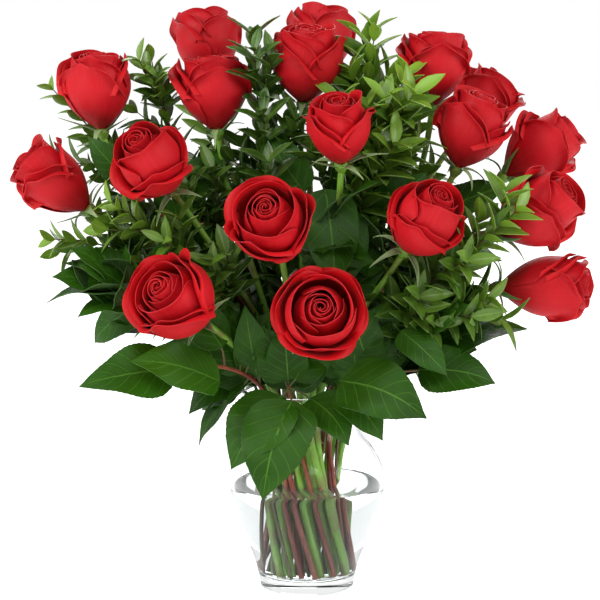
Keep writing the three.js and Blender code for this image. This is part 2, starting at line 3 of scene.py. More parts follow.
import bpy
import numpy as np
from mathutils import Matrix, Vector


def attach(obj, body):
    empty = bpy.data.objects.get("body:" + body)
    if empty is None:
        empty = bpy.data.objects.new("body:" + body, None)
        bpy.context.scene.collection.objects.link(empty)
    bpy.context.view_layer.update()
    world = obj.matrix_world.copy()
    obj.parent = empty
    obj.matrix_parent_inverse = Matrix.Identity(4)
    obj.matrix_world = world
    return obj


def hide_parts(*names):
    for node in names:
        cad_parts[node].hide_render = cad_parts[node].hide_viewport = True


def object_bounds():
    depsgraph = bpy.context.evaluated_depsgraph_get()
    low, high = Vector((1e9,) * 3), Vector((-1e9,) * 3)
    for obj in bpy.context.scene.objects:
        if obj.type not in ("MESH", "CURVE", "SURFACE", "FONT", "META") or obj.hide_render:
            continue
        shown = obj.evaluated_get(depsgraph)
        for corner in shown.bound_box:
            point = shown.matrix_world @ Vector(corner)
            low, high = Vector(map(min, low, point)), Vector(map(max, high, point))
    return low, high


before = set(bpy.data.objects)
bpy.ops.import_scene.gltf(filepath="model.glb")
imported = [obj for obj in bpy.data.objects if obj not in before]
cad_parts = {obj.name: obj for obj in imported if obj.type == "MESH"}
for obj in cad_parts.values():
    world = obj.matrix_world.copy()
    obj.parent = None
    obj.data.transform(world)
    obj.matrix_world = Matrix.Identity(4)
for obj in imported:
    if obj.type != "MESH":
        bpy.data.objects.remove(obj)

bl_info = {
    "name": "Roses in a Vase",
    "version": (1, 0, 0),
    "blender": (4, 5, 0),
    "location": "View3D > Sidebar > Bouquet",
    "description": "Makes a bouquet of red roses and greenery in a clear glass vase, and its stage",
    "category": "Object",
}

MM = 0.001
CAD_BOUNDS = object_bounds()
GOLDEN_TURN = math.pi * (3 - math.sqrt(5))
BODY = "root"
# The way in which a bloom, a hip or a turned solid faces, where its axis leaves that open.
FRONT = (0.2, -1.0, 0.1)
# Edges that turn by more than this stay sharp, on sheets and on wood (degrees).
SHARP = 60
WOOD_SHARP = 50

# ---------------------------------------------------------------- the vase's outline (mm)

VASE_OUTLINE = [
    (36, 0), (38, 2), (39, 9), (43, 24), (50.5, 43), (58, 62), (62, 78), (62.6, 90), (60, 102),
    (53.5, 114), (46.5, 123), (42.5, 131), (41.5, 139), (44, 148), (49.5, 156), (53, 160.5),
]
LIP_TOP = 163
VASE_FLOOR = 10
OUTLINE_STEPS = 4
# The bowl inside, from its wall down to the flat of its floor: the height above the floor at which
# the wall is read, how far inside the wall the line lies, its own height, and how much of the
# water's overlap it is lowered by for the water.
BOWL = [(9, 0, 9, 0), (4, 1.0, 4.5, 2 / 3), (0, 4.5, 1.6, 1), (0, 10, 0.5, 1)]
BOWL_TOP = 12
FLAT_RADIUS = 12
# The water reaches this far into the glass, so that no air shows between them.
WATER_OVERLAP = 0.15
WATER_TOP = 84
# How much painted shade darkens bark below the water.
UNDERWATER_PAINTED_SHADE = 0.52
GLASS_IOR = 1.47
WATER_IOR = 1.333

# ---------------------------------------------------------------- the roses

ROSES = 18
# How a rose is read from its CAD nodes: the reach round the hip's top and the depth of that top
# (mm), the share of the height where the crown starts, and the bands of the height, with the
# percentile, at which the girth and the rim are taken.
HIP_REACH = 12
HIP_TOP = 0.8
CROWN_FROM = 0.95
GIRTH_BAND = (0.28, 0.72, 70)
RIM_BAND = (0.76, 0.95, 88)
# How far the outer petals of the wider roses have fallen open, from 0 to 1.
OPENNESS = {3: 0.25, 9: 0.5, 10: 0.2, 11: 0.5, 16: 0.15}

# Petals in rings, from the outside in: how many, the ring's share of the bloom's girth and of its
# height, how far the edge rolls back (degrees), where the roll starts, and half the petal's width.
PETAL_RINGS = [
    (3, 1.00, 0.92, 112, 0.79, 74),
    (3, 0.93, 0.965, 92, 0.81, 76),
    (3, 0.81, 0.985, 66, 0.88, 82),
    (3, 0.62, 0.985, 44, 0.89, 88),
    (3, 0.46, 0.98, 30, 0.91, 98),
    (3, 0.32, 0.97, 20, 0.92, 112),
    (2, 0.19, 0.965, 10, 0.94, 140),
    (1, 0.09, 0.95, 0, 0.95, 165),
]
# The bud of inner petals starts at this ring, and closes by this much more than the petals round it.
BUD_FROM = 3
BUD_CLOSES = 0.22
# Roses whose outer petals end lower, and at what share of their height, so that the spiral stands
# above them.
GUARD_HEIGHTS = {2: 0.92, 3: 0.70, 8: 0.9, 9: 0.86, 11: 0.84, 12: 0.78, 14: 0.9, 16: 0.84, 17: 0.88}
# The rings of large petals, and those at the outside whose petals are pointed and end lower.
LARGE_RINGS = 4
GUARD_RINGS = 2
# How far the petals of each ring lean out when the rose is fully open (degrees).
RING_LEANS = (22, 17, 11, 4, 1, 0, 0, 0)
# The cup: the share of the height up to its widest place, and how it starts and swells.
CUP_SHARE = 0.53
CUP_START = 0.15
CUP_POWER = 2.0
# Where the petals start under the hip's top, and the nearest that they come to the axis (mm).
PETAL_ROOT = -1.2
LEAST_RADIUS = 0.5
# The share of a petal's length by which its lean is reached, and how suddenly its edge rolls back.
LEANS_BY = 0.4
ROLL_POWER = 1.5
# Columns and rows of points in a petal.
LARGE_PETAL = (25, 24)
SMALL_PETAL = (17, 16)
# How much wider than its CAD node's the lips of a rose spread, unless it has fallen open.
RIM_FLARE = 1.06
# The hip under a bloom, as radius and height (mm), and how far below its top the wood's line ends.
HIP_OUTLINE = [
    (0, -12.5), (1.9, -12), (2.4, -10.5), (3.3, -8.6), (4.7, -6.4), (5.5, -4.4), (5.6, -3),
    (4.9, -1.6), (3.4, -0.5), (0, -0.3),
]
HIP_SIDES = 20
HIP_DEPTH = 7
# The sepals that leave the hip: how many, their thickness and half width, the radius and height
# where they start (mm), the angle to the axis at which they leave it, and the angles to which they
# spread (degrees), with the chance of each.
SEPALS = 5
SEPAL_THICKNESS = 0.45
SEPAL_HALF_WIDTH = 3.1
SEPAL_START = (4.4, -3.4)
SEPAL_LEAVES_AT = 62
SEPAL_SPREADS = ((12, 26, 58, 105, 150), (0.15, 0.15, 0.15, 0.25, 0.3))

# ---------------------------------------------------------------- the greenery (mm)

# How far side twigs stay inside the bouquet's outline, so that their leaves don't spread past it.
TWIG_MARGIN = 13
STALK_RADIUS = 0.8
# Columns and rows of points in a leaf outside and in one inside, and the ranges from which the
# length, the half width and the arch of a leaf inside are drawn.
OUTER_LEAF = (13, 37)
INNER_LEAF = (9, 21)
INNER_LENGTHS = (42, 66)
INNER_HALF_WIDTHS = (14, 20)
INNER_ARCHES = (2, 7)
# Seeded leaves and twigs start above this, and stay out of a ring round the vase's neck, and out of
# the space in front where only the large leaves hang.
LEAFY_FROM = 150
LEAF_TIPS_ABOVE = 118
TWIGS_ABOVE = 170
NECK_RING = (60, 168)
FRONT_SPACE = (-58, 225)

# Lemon-leaf branches: where the wood ends, then each leaf's base, tip, half width, the way its
# upper face looks, and how far it arches.
LEMON_LEAVES = [
    ((-136, -50, 243), [
        ((-152, -46, 244), (-196, -60, 262), 17, (-0.1, -0.6, 0.8), 5),
        ((-141, -60, 238), (-176, -76, 233), 11, (0, -0.5, 0.85), 4),
        ((-120, -34, 252), (-112, -62, 288), 15, (0.2, -0.8, 0.3), 5),
    ]),
    ((-84, -80, 194), [
        ((-102, -88, 194), (-173, -103, 184), 25, (-0.05, -0.75, 0.65), 7),
        ((-67, -90, 184), (-132, -114, 205), 21, (0.1, -0.7, 0.7), 6),
        ((-66, -62, 206), (-100, -50, 250), 17, (0.4, -0.8, 0.3), 5),
    ]),
    ((-14, -62, 174), [
        ((-20, -66, 168), (-59, -97, 119), 26, (-0.35, -0.85, 0.4), 8),
        ((-12, -74, 166), (-34, -110, 97), 27, (0, -0.93, 0.35), 8),
        ((2, -64, 166), (32, -84, 134), 18, (0.3, -0.85, 0.4), 5),
    ]),
    ((50, -62, 184), [
        ((25, -76, 182), (90, -106, 160), 24, (0.1, -0.85, 0.5), 7),
        ((26, -66, 174), (58, -86, 138), 16, (0.2, -0.9, 0.35), 5),
        ((86, -62, 188), (145, -72, 181), 21, (0.1, -0.7, 0.7), 6),
        ((46, -52, 196), (30, -66, 250), 18, (0.1, -0.95, 0.2), 6),
    ]),
    ((86, -40, 206), [
        ((92, -36, 202), (172, -42, 219), 21, (-0.1, -0.6, 0.75), 8),
        ((88, -52, 216), (124, -72, 241), 15, (-0.2, -0.7, 0.6), 5),
        ((72, -70, 220), (107, -88, 189), 14, (0.2, -0.85, 0.4), 6),
    ]),
    ((10, -22, 322), [
        ((14, -32, 326), (21, -74, 256), 22, (0.1, -0.9, 0.3), -7),
        ((-2, -14, 322), (-34, 8, 372), 17, (-0.4, -0.75, 0.4), 6),
        ((22, -10, 318), (62, 20, 356), 17, (0.4, -0.75, 0.4), 6),
    ]),
    ((-118, -8, 306), [
        ((-137, -14, 330), (-172, -18, 366), 13, (-0.3, -0.8, 0.4), 5),
        ((-104, 2, 310), (-66, 16, 352), 16, (0.2, -0.85, 0.4), 5),
        ((-112, 8, 296), (-168, 44, 312), 19, (-0.2, 0.3, 0.9), 6),
    ]),
    ((82, 2, 292), [
        ((64, -8, 296), (92, -26, 338), 21, (-0.2, -0.9, 0.3), 6),
        ((102, 8, 302), (158, 2, 326), 19, (-0.2, -0.75, 0.6), 6),
        ((96, 14, 272), (152, 20, 270), 18, (0, -0.5, 0.85), 6),
    ]),
    ((-58, 66, 226), [
        ((-30, 66, 186), (-66, 104, 134), 25, (-0.3, 0.85, 0.4), 8),
        ((-66, 70, 212), (-134, 96, 204), 23, (-0.2, 0.6, 0.75), 7),
        ((-62, 76, 238), (-86, 126, 276), 20, (-0.2, 0.7, 0.6), 6),
        ((-48, 58, 240), (-24, 84, 304), 20, (0.1, 0.9, 0.3), 6),
        ((-84, 62, 236), (-146, 66, 268), 20, (-0.2, 0.4, 0.85), 6),
    ]),
    ((60, 64, 230), [
        ((22, 68, 180), (42, 110, 116), 26, (0.1, 0.9, 0.4), 8),
        ((66, 62, 204), (136, 84, 192), 23, (0.2, 0.6, 0.75), 7),
        ((56, 74, 240), (62, 130, 270), 20, (0.1, 0.7, 0.6), 6),
        ((44, 58, 244), (28, 90, 306), 20, (-0.1, 0.9, 0.3), 6),
        ((82, 58, 240), (140, 74, 262), 20, (0.2, 0.4, 0.85), 6),
    ]),
]
# Lemon leaf in outline: shares of the length, and of the half width at each.
LEAF_STATIONS = (0, 0.03, 0.08, 0.18, 0.3, 0.45, 0.6, 0.75, 0.88, 0.95, 1)
LEAF_WIDTHS = (0.08, 0.48, 0.76, 0.97, 1, 0.96, 0.85, 0.62, 0.31, 0.12, 0.01)
# How fresh and light a leaf is, from 0 to 1: the leaves outside, then those inside, whose lower range
# is painted shade for their place inside the bouquet.
LEAF_FRESHNESS = (0.0, 0.6)
INNER_FRESHNESS_AND_SHADE = (0.0, 0.25)

# Myrtle sprays: where the tip is, the length in leaf, the length of a leaf, and how fresh it is.
MYRTLE = [
    ((-204, 34, 400), 150, 19, 0.7), ((-124, 22, 424), 120, 19, 0.7),
    ((-198, -26, 286), 120, 20, 0.75), ((-150, -62, 318), 110, 21, 0.75),
    ((-42, 12, 442), 130, 20, 0.15), ((54, 12, 448), 120, 28, 1.3),
    ((78, -12, 412), 110, 29, 1.3), ((158, -86, 314), 110, 24, 0.8),
    ((138, -62, 244), 100, 22, 0.45), ((-92, 128, 372), 150, 21, 0.6),
    ((84, 132, 366), 150, 21, 0.6),
]
# How much longer the leafy part and the leaves come out than the table says, how far leaves stand
# off a twig, how many points a side twig has, and the ranges, as shares of the leafy length, of
# where side twigs start and how long they are.
LEAFY_STRETCH = 1.15
LEAF_STRETCH = 1.2
LEAF_SPLAY = 0.9
TWIG_POINTS = 7
TWIG_STARTS = (0.12, 1.15)
TWIG_LENGTHS = (0.22, 0.42)


# ---------------------------------------------------------------- settings

def length_setting(name, description, default, unit="LENGTH"):
    return bpy.props.FloatProperty(name=name, description=description, default=default, unit=unit)


def share_setting(name, description, default):
    return bpy.props.FloatProperty(
        name=name, description=description, default=default, subtype="FACTOR")


def colour_setting(name, description, default):
    return bpy.props.FloatVectorProperty(
        name=name, description=description, default=default, subtype="COLOR")


def count_setting(name, description, default):
    return bpy.props.IntProperty(name=name, description=description, default=default)


class BloomSettings(bpy.types.PropertyGroup):
    petal_thickness: length_setting("Petal Thickness", "Thickness of one petal", 0.5 * MM)
    roll: share_setting("Roll", "How strongly the petal edges roll back", 1.0)
    opening: share_setting("Opening", "How far the open roses lean their petals out", 1.0)
    face_colour: colour_setting(
        "Face Colour", "Colour of the velvety inner face of a petal", (0.50, 0.002, 0.006))
    back_colour: colour_setting(
        "Back Colour", "Colour of the outer face of a petal", (0.50, 0.004, 0.010))
    seed: count_setting("Seed", "Starting value for the small differences between petals", 11)


class StemSettings(bpy.types.PropertyGroup):
    radius: length_setting("Stem Radius", "Radius of a rose stem", 2.9 * MM)
    thorn_length: length_setting("Thorn Length", "Length of a thorn", 4.2 * MM)
    thorn_spacing: length_setting(
        "Thorn Spacing", "Distance between thorns along a stem", 33 * MM)
    sepal_length: length_setting(
        "Sepal Length", "Length of the longest sepals under a bloom", 30 * MM)
    colour: colour_setting(
        "Stem Colour", "Colour of the green bark of a rose stem", (0.18, 0.40, 0.035))
    seed: count_setting("Seed", "Starting value for thorns and sepals", 23)


class LemonLeafSettings(bpy.types.PropertyGroup):
    thickness: length_setting("Leaf Thickness", "Thickness of a lemon leaf", 0.5 * MM)
    fillers: count_setting(
        "Inner Leaves", "Smaller leaves on each branch inside the bouquet", 28)
    wood_radius: length_setting("Wood Radius", "Radius of a branch", 1.9 * MM)
    top_colour: colour_setting(
        "Top Colour", "Colour of the glossy upper face", (0.016, 0.062, 0.002))
    under_colour: colour_setting(
        "Under Colour", "Colour of the dull lower face", (0.045, 0.10, 0.022))
    seed: count_setting("Seed", "Starting value for the places of the inner leaves", 5)


class MyrtleSettings(bpy.types.PropertyGroup):
    pair_spacing: length_setting(
        "Pair Spacing", "Distance between pairs of leaves along a twig", 8.5 * MM)
    twigs: count_setting("Side Twigs", "Side twigs on each spray", 12)
    wood_radius: length_setting("Twig Radius", "Radius of the main twig", 1.3 * MM)
    old_colour: colour_setting(
        "Old Leaf Colour", "Colour of the lower leaves", (0.016, 0.062, 0.003))
    young_colour: colour_setting(
        "Young Leaf Colour", "Colour of the leaves at the tip", (0.22, 0.40, 0.030))
    seed: count_setting("Seed", "Starting value for the side twigs", 31)


class VaseSettings(bpy.types.PropertyGroup):
    wall: length_setting("Wall", "Thickness of the glass", 3.2 * MM)
    sides: count_setting("Sides", "Facets round the turned glass", 112)
    tint: colour_setting("Tint", "Colour of the glass", (0.97, 0.985, 0.985))
    water_tint: colour_setting("Water Tint", "Colour of the water", (0.97, 0.985, 0.985))


class StageSettings(bpy.types.PropertyGroup):
    floor_size: length_setting("Floor Size", "Side of the square floor", 14.0)
    camera_distance: length_setting(
        "Camera Distance", "From the camera to the middle of the bouquet", 1.8)
    camera_rise: length_setting(
        "Camera Rise", "Angle at which the camera looks down", math.radians(8), "ROTATION")
    surround: share_setting("Surround", "Brightness of the room, apart from the lamps", 0.34)
    lens: length_setting("Lens", "Focal length of the camera", 135.0, "CAMERA")


# ---------------------------------------------------------------- reading the frame

def node_mesh(name):
    """Points and triangle edges of a CAD node."""
    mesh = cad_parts[name].data
    points = np.empty(len(mesh.vertices) * 3)
    mesh.vertices.foreach_get("co", points)
    points = points.reshape(-1, 3)
    edges = np.empty(len(mesh.edges) * 2, dtype=np.int64)
    mesh.edges.foreach_get("vertices", edges)
    return points, edges.reshape(-1, 2)


def unit(vector):
    return vector / np.linalg.norm(vector)


def middle_of(points):
    return (points.min(axis=0) + points.max(axis=0)) / 2


def rose_place(number):
    """Hip top, axis, length, girth and rim radius of a rose, from its two CAD nodes."""
    stem, _ = node_mesh(f"rose_{number:02d}_stem")
    bloom, _ = node_mesh(f"rose_{number:02d}_bloom")
    middle = middle_of(bloom)
    hip = stem[np.argmin(np.linalg.norm(stem - middle, axis=1))]
    axis = unit(middle - hip)
    for _ in range(4):
        near = stem[np.linalg.norm(stem - hip, axis=1) < HIP_REACH * MM]
        level = near @ axis
        hip = middle_of(near[level > level.max() - HIP_TOP * MM])
        high = (bloom - hip) @ axis
        crown = bloom[high > high.max() * CROWN_FROM]
        axis = unit(axis + unit(middle_of(crown) - hip))
    high = (bloom - hip) @ axis
    length = high.max()
    out = np.linalg.norm(bloom - hip - high[:, None] * axis, axis=1)

    def radius_in(low, top, percentile):
        return np.percentile(out[(high > length * low) & (high < length * top)], percentile)

    flare = 1 if number in OPENNESS else RIM_FLARE
    return {"hip": hip, "axis": axis, "length": length,
            "girth": radius_in(*GIRTH_BAND), "rim": radius_in(*RIM_BAND) * flare}


def all_roses():
    return [rose_place(number) for number in range(1, ROSES + 1)]


def frame_along(along, side):
    """A turned frame as columns: z along a direction, x towards the wanted side."""
    z = unit(np.asarray(along, dtype=float))
    x = np.asarray(side, dtype=float)
    x = x - z * (x @ z)
    if np.linalg.norm(x) < 1e-6:
        x = np.cross(z, (1.0, 0.3, 0.2))
    x = unit(x)
    return np.stack([x, np.cross(z, x), z], axis=1)


def wood_line(name, end, radius):
    """Middle line of a stem's wood in a CAD node, followed from its cut end up to a point."""
    points, edges = node_mesh(name)
    low = points[points[:, 2] < points[:, 2].min() + 1.5 * MM]
    place = low.mean(axis=0)
    heading = np.array((0.0, 0.0, 1.0))
    start, finish = points[edges[:, 0]], points[edges[:, 1]]
    step, most_steps, reach = 6 * MM, 120, radius + 1.6 * MM
    line = [place]
    nearest_yet = np.linalg.norm(end - place)
    while nearest_yet > step * 1.2 and len(line) < most_steps:
        # Where the node's edges cross the next level, close by, is the wood's outline there.
        guess = place + heading * step
        side0 = (start - guess) @ heading
        side1 = (finish - guess) @ heading
        crossing = side0 * side1 < 0
        share = (side0[crossing] / (side0[crossing] - side1[crossing]))[:, None]
        cuts = start[crossing] * (1 - share) + finish[crossing] * share
        near = cuts[np.linalg.norm(cuts - guess, axis=1) < reach]
        if len(near) >= 3:
            drift = middle_of(near) - guess
            guess = guess + drift * min(1, 1.2 * MM / max(np.linalg.norm(drift), 1e-9))
        else:
            guess = place + unit(heading + unit(end - place)) * step
        heading = unit(heading * 0.6 + unit(guess - place) * 0.4)
        place = guess
        left = np.linalg.norm(end - place)
        if nearest_yet < 60 * MM and left > nearest_yet + step / 2:
            break
        nearest_yet = min(nearest_yet, left)
        line.append(place)
    line = np.array(line + [end])
    for _ in range(3):
        line[1:-1] = line[1:-1] * 0.5 + (line[:-2] + line[2:]) * 0.25
    return line


# ---------------------------------------------------------------- thin sheets

def layered(*parts):
    """Three values for each place of a grid, from arrays or numbers that spread over it."""
    return np.stack(np.broadcast_arrays(*parts), axis=-1)


def grid_lines(columns, rows):
    """Places across a sheet, from -1 to 1, and along it, from 0 to 1."""
    return np.linspace(-1, 1, columns)[:, None], np.linspace(0, 1, rows)[None, :]


def quads(a, b, c, d):
    return np.stack([a, b, c, d], axis=-1).reshape(-1, 4)


class Sheets:
    """Thin closed sheets gathered into one mesh, each with a face, a back and a rim."""

    def __init__(self):
        self.points = []
        self.faces = []
        self.slots = []
        self.marks = []
        self.count = 0

    def add(self, grid, thickness, marks, face_slot, back_slot):
        across = np.gradient(grid, axis=0)
        along = np.gradient(grid, axis=1)
        normal = np.cross(across, along)
        size = np.linalg.norm(normal, axis=2, keepdims=True)
        normal = normal / np.maximum(size, 1e-12)
        columns, rows = grid.shape[:2]
        front = np.arange(columns * rows).reshape(columns, rows) + self.count
        back = front + columns * rows
        self.points.append((grid + normal * thickness / 2).reshape(-1, 3))
        self.points.append((grid - normal * thickness / 2).reshape(-1, 3))
        self.marks.extend([marks.reshape(-1, 3)] * 2)
        self.count += 2 * columns * rows
        parts = [
            (quads(front[:-1, :-1], front[1:, :-1], front[1:, 1:], front[:-1, 1:]), face_slot),
            (quads(back[:-1, :-1], back[:-1, 1:], back[1:, 1:], back[1:, :-1]), back_slot),
            (quads(front[1:, 0], front[:-1, 0], back[:-1, 0], back[1:, 0]), back_slot),
            (quads(front[:-1, -1], front[1:, -1], back[1:, -1], back[:-1, -1]), back_slot),
            (quads(front[0, :-1], front[0, 1:], back[0, 1:], back[0, :-1]), back_slot),
            (quads(front[-1, 1:], front[-1, :-1], back[-1, :-1], back[-1, 1:]), back_slot),
        ]
        for faces, slot in parts:
            self.faces.append(faces)
            self.slots.append(np.full(len(faces), slot))

    def bare_mesh(self, name):
        mesh = bpy.data.meshes.new(name)
        mesh.from_pydata(np.concatenate(self.points).tolist(), [],
                         np.concatenate(self.faces).tolist())
        return mesh

    def mesh(self, name, materials):
        """The sheets as a mesh, with across, along and age at each point for the materials; on the
        inner lemon leaves the age also carries painted shade.
        """
        mesh = self.bare_mesh(name)
        for material in materials:
            mesh.materials.append(material)
        mesh.polygons.foreach_set("material_index", np.concatenate(self.slots).astype(np.int32))
        layer = mesh.attributes.new("leaf_place", "FLOAT_VECTOR", "POINT")
        layer.data.foreach_set("vector", np.concatenate(self.marks).astype(np.float32).reshape(-1))
        return smoothed(mesh, SHARP)


def smoothed(mesh, sharp):
    """Shades a mesh smooth, apart from edges sharper than an angle in degrees."""
    mesh.shade_smooth()
    mesh.set_sharp_from_angle(angle=math.radians(sharp))
    return mesh


def shown(name, data):
    thing = bpy.data.objects.new(name, data)
    bpy.context.scene.collection.objects.link(thing)
    return thing


def finished(thing, node):
    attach(thing, BODY)
    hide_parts(node)


def smooth_step(low, high, value):
    share = np.clip((value - low) / (high - low), 0, 1)
    return share * share * (3 - 2 * share)


# ---------------------------------------------------------------- shader helpers

def new_material(name):
    material = bpy.data.materials.new(name)
    material.use_nodes = True
    tree = material.node_tree
    return material, tree, tree.nodes["Principled BSDF"]


def plug(tree, socket, value):
    """Links a socket to another node's output, or gives it a plain value."""
    if isinstance(value, bpy.types.NodeSocket):
        tree.links.new(value, socket)
    else:
        socket.default_value = value


def wire(tree, kind, inputs=None, **settings):
    """A node with its settings and its inputs, each a link or a plain value."""
    node = tree.nodes.new(kind)
    for key, value in settings.items():
        setattr(node, key, value)
    for key, value in (inputs or {}).items():
        plug(tree, node.inputs[key], value)
    return node


def maths(tree, operation, *values):
    inputs = dict(enumerate(values))
    return wire(tree, "ShaderNodeMath", inputs, operation=operation).outputs[0]


def vectors(tree, operation, *values):
    """Like maths, for vectors. The second value of SCALE is a number."""
    inputs = dict(zip((0, "Scale") if operation == "SCALE" else (0, 1), values))
    return wire(tree, "ShaderNodeVectorMath", inputs, operation=operation).outputs[0]


def ramp(tree, value, low, high, out_low=0.0, out_high=1.0):
    node = wire(tree, "ShaderNodeMapRange", {
        "Value": value, "From Min": low, "From Max": high, "To Min": out_low, "To Max": out_high,
    }, interpolation_type="SMOOTHSTEP")
    return node.outputs[0]


def blend(tree, factor, *colours):
    """A mix of two colours, each another node's output or red, green and blue."""
    one, two = (colour if isinstance(colour, bpy.types.NodeSocket) else (*colour, 1)
                for colour in colours)
    inputs = {0: factor, 6: one, 7: two}
    return wire(tree, "ShaderNodeMix", inputs, data_type="RGBA").outputs[2]


def shade(colour, strength):
    return tuple(part * strength for part in colour)


def new_tree(name, kind, inputs, outputs):
    """An empty node tree with named sockets: name, kind and, for some inputs, a default."""
    tree = bpy.data.node_groups.new(name, kind)
    for label, of_kind, *default in inputs:
        socket = tree.interface.new_socket(
            label, in_out="INPUT", socket_type="NodeSocket" + of_kind)
        if default:
            socket.default_value = default[0]
    for label, of_kind in outputs:
        tree.interface.new_socket(label, in_out="OUTPUT", socket_type="NodeSocket" + of_kind)
    return tree, tree.nodes.new("NodeGroupInput"), tree.nodes.new("NodeGroupOutput")


def vein_group():
    """Midrib, slanting side veins and cells of a leaf, a sepal or a petal."""
    name = "Leaf Veins"
    if name in bpy.data.node_groups:
        return bpy.data.node_groups[name]
    outputs = ("Side Veins", "Midrib", "Cells", "Across", "Along", "Age")
    group, start, end = new_tree(
        name, "ShaderNodeTree",
        [("Pairs", "Float", 6.0), ("Slant", "Float", 1.6), ("Vein Width", "Float", 0.12),
         ("Rib Width", "Float", 0.06)],
        [(label, "Float") for label in outputs])
    place = wire(group, "ShaderNodeAttribute", attribute_name="leaf_place").outputs["Vector"]
    across, along, age = wire(group, "ShaderNodeSeparateXYZ", {0: place}).outputs
    off = maths(group, "ABSOLUTE", across)
    lines = maths(group, "SUBTRACT", maths(group, "MULTIPLY", along, start.outputs["Pairs"]),
                  maths(group, "MULTIPLY", off, start.outputs["Slant"]))

    def line_mask(distance, width):
        share = maths(group, "DIVIDE", distance, start.outputs[width])
        return maths(group, "MAXIMUM", maths(group, "SUBTRACT", 1.0, share), 0.0)

    veins = line_mask(maths(group, "PINGPONG", lines, 0.5), "Vein Width")
    veins = maths(group, "MULTIPLY", veins, ramp(group, off, 1.0, 0.8))
    coords = wire(group, "ShaderNodeTexCoord").outputs["Object"]
    cells = wire(group, "ShaderNodeTexVoronoi", {"Vector": coords, "Scale": 900.0},
                 feature="DISTANCE_TO_EDGE").outputs["Distance"]
    values = (veins, line_mask(off, "Rib Width"), cells, off, along, age)
    for label, value in zip(outputs, values):
        group.links.new(value, end.inputs[label])
    return group


def mottle_group():
    """Soft patches of lighter and darker tone at two sizes."""
    name = "Mottle"
    if name in bpy.data.node_groups:
        return bpy.data.node_groups[name]
    group, start, end = new_tree(
        name, "ShaderNodeTree",
        [("Patch Scale", "Float", 60.0), ("Speck Scale", "Float", 900.0)],
        [("Patches", "Float"), ("Specks", "Float")])
    coords = wire(group, "ShaderNodeTexCoord").outputs["Object"]
    for label, scale, detail in (("Patches", "Patch Scale", 3.0), ("Specks", "Speck Scale", 2.0)):
        noise = wire(group, "ShaderNodeTexNoise", {
            "Vector": coords, "Scale": start.outputs[scale], "Detail": detail})
        group.links.new(noise.outputs["Fac"], end.inputs[label])
    return group


def placed(tree, group, **values):
    node = tree.nodes.new("ShaderNodeGroup")
    node.node_tree = group
    for key, value in values.items():
        node.inputs[key.replace("_", " ")].default_value = value
    return node


def bumped(tree, shader, height, strength, distance):
    bump = wire(tree, "ShaderNodeBump", {
        "Height": height, "Strength": strength, "Distance": distance})
    tree.links.new(bump.outputs["Normal"], shader.inputs["Normal"])


def set_plain(shader, values):
    """Sets values that are the same all over a surface on the shader's own sockets."""
    for label, value in values.items():
        shader.inputs[label].default_value = value


def surfaced(tree, shader, colour, specks, smooth, rough):
    """Gives a material its colour, and a roughness that runs between two values by the specks."""
    plug(tree, shader.inputs["Base Color"], colour)
    plug(tree, shader.inputs["Roughness"], ramp(tree, specks, 0.3, 0.7, smooth, rough))


# ---------------------------------------------------------------- materials

def petal_material(name, colour, back):
    """Velvety petal: painted shade at its base, low in the bloom, darker between the paler veins, and
    a painted highlight along its edge.
    """
    material, tree, shader = new_material(name)
    veins = placed(tree, vein_group(), Pairs=2.0, Slant=1.0, Vein_Width=0.2, Rib_Width=0.05)
    mottle = placed(tree, mottle_group(), Patch_Scale=45.0, Speck_Scale=700.0)
    place = wire(tree, "ShaderNodeAttribute", attribute_name="leaf_place").outputs["Vector"]
    stretched = vectors(tree, "MULTIPLY", place, (26.0, 1.6, 3.0))
    fibres = wire(tree, "ShaderNodeTexNoise", {
        "Vector": stretched, "Scale": 1.0, "Detail": 3.0, "Roughness": 0.6}).outputs["Fac"]
    # Painted shade: the petal darkens towards its base, where it sits inside the bloom.
    painted_base_shade = shade(colour, 0.42)
    bright = tuple(min(1.0, part * 1.18 + 0.004) for part in colour)
    pale = (0.60, 0.022, 0.026) if back else (0.60, 0.008, 0.012)
    base = blend(tree, ramp(tree, veins.outputs["Along"], 0.05, 0.62), painted_base_shade, colour)
    base = blend(tree, ramp(tree, mottle.outputs["Patches"], 0.35, 0.72, 0.0, 0.6), base, bright)
    base = blend(tree, ramp(tree, fibres, 0.45, 0.8, 0.0, 0.45 if back else 0.25), base, pale)
    # Painted highlight: the petal pales along its side edges and lip, where the rims catch the light.
    edge = maths(tree, "MAXIMUM", ramp(tree, veins.outputs["Across"], 0.93, 1.0),
                 ramp(tree, veins.outputs["Along"], 0.965, 1.0))
    base = blend(tree, maths(tree, "MULTIPLY", edge, 0.35), base, pale)
    surfaced(tree, shader, base, mottle.outputs["Specks"], 0.48, 0.62)
    set_plain(shader, {
        "Specular IOR Level": 0.22, "Sheen Weight": 0.06 if back else 0.1, "Sheen Roughness": 0.35,
        "Sheen Tint": (1.0, 0.30, 0.30, 1)})
    height = maths(tree, "ADD", fibres, maths(tree, "MULTIPLY", mottle.outputs["Specks"], 0.4))
    bumped(tree, shader, height, 0.35, 0.25 * MM)
    return material


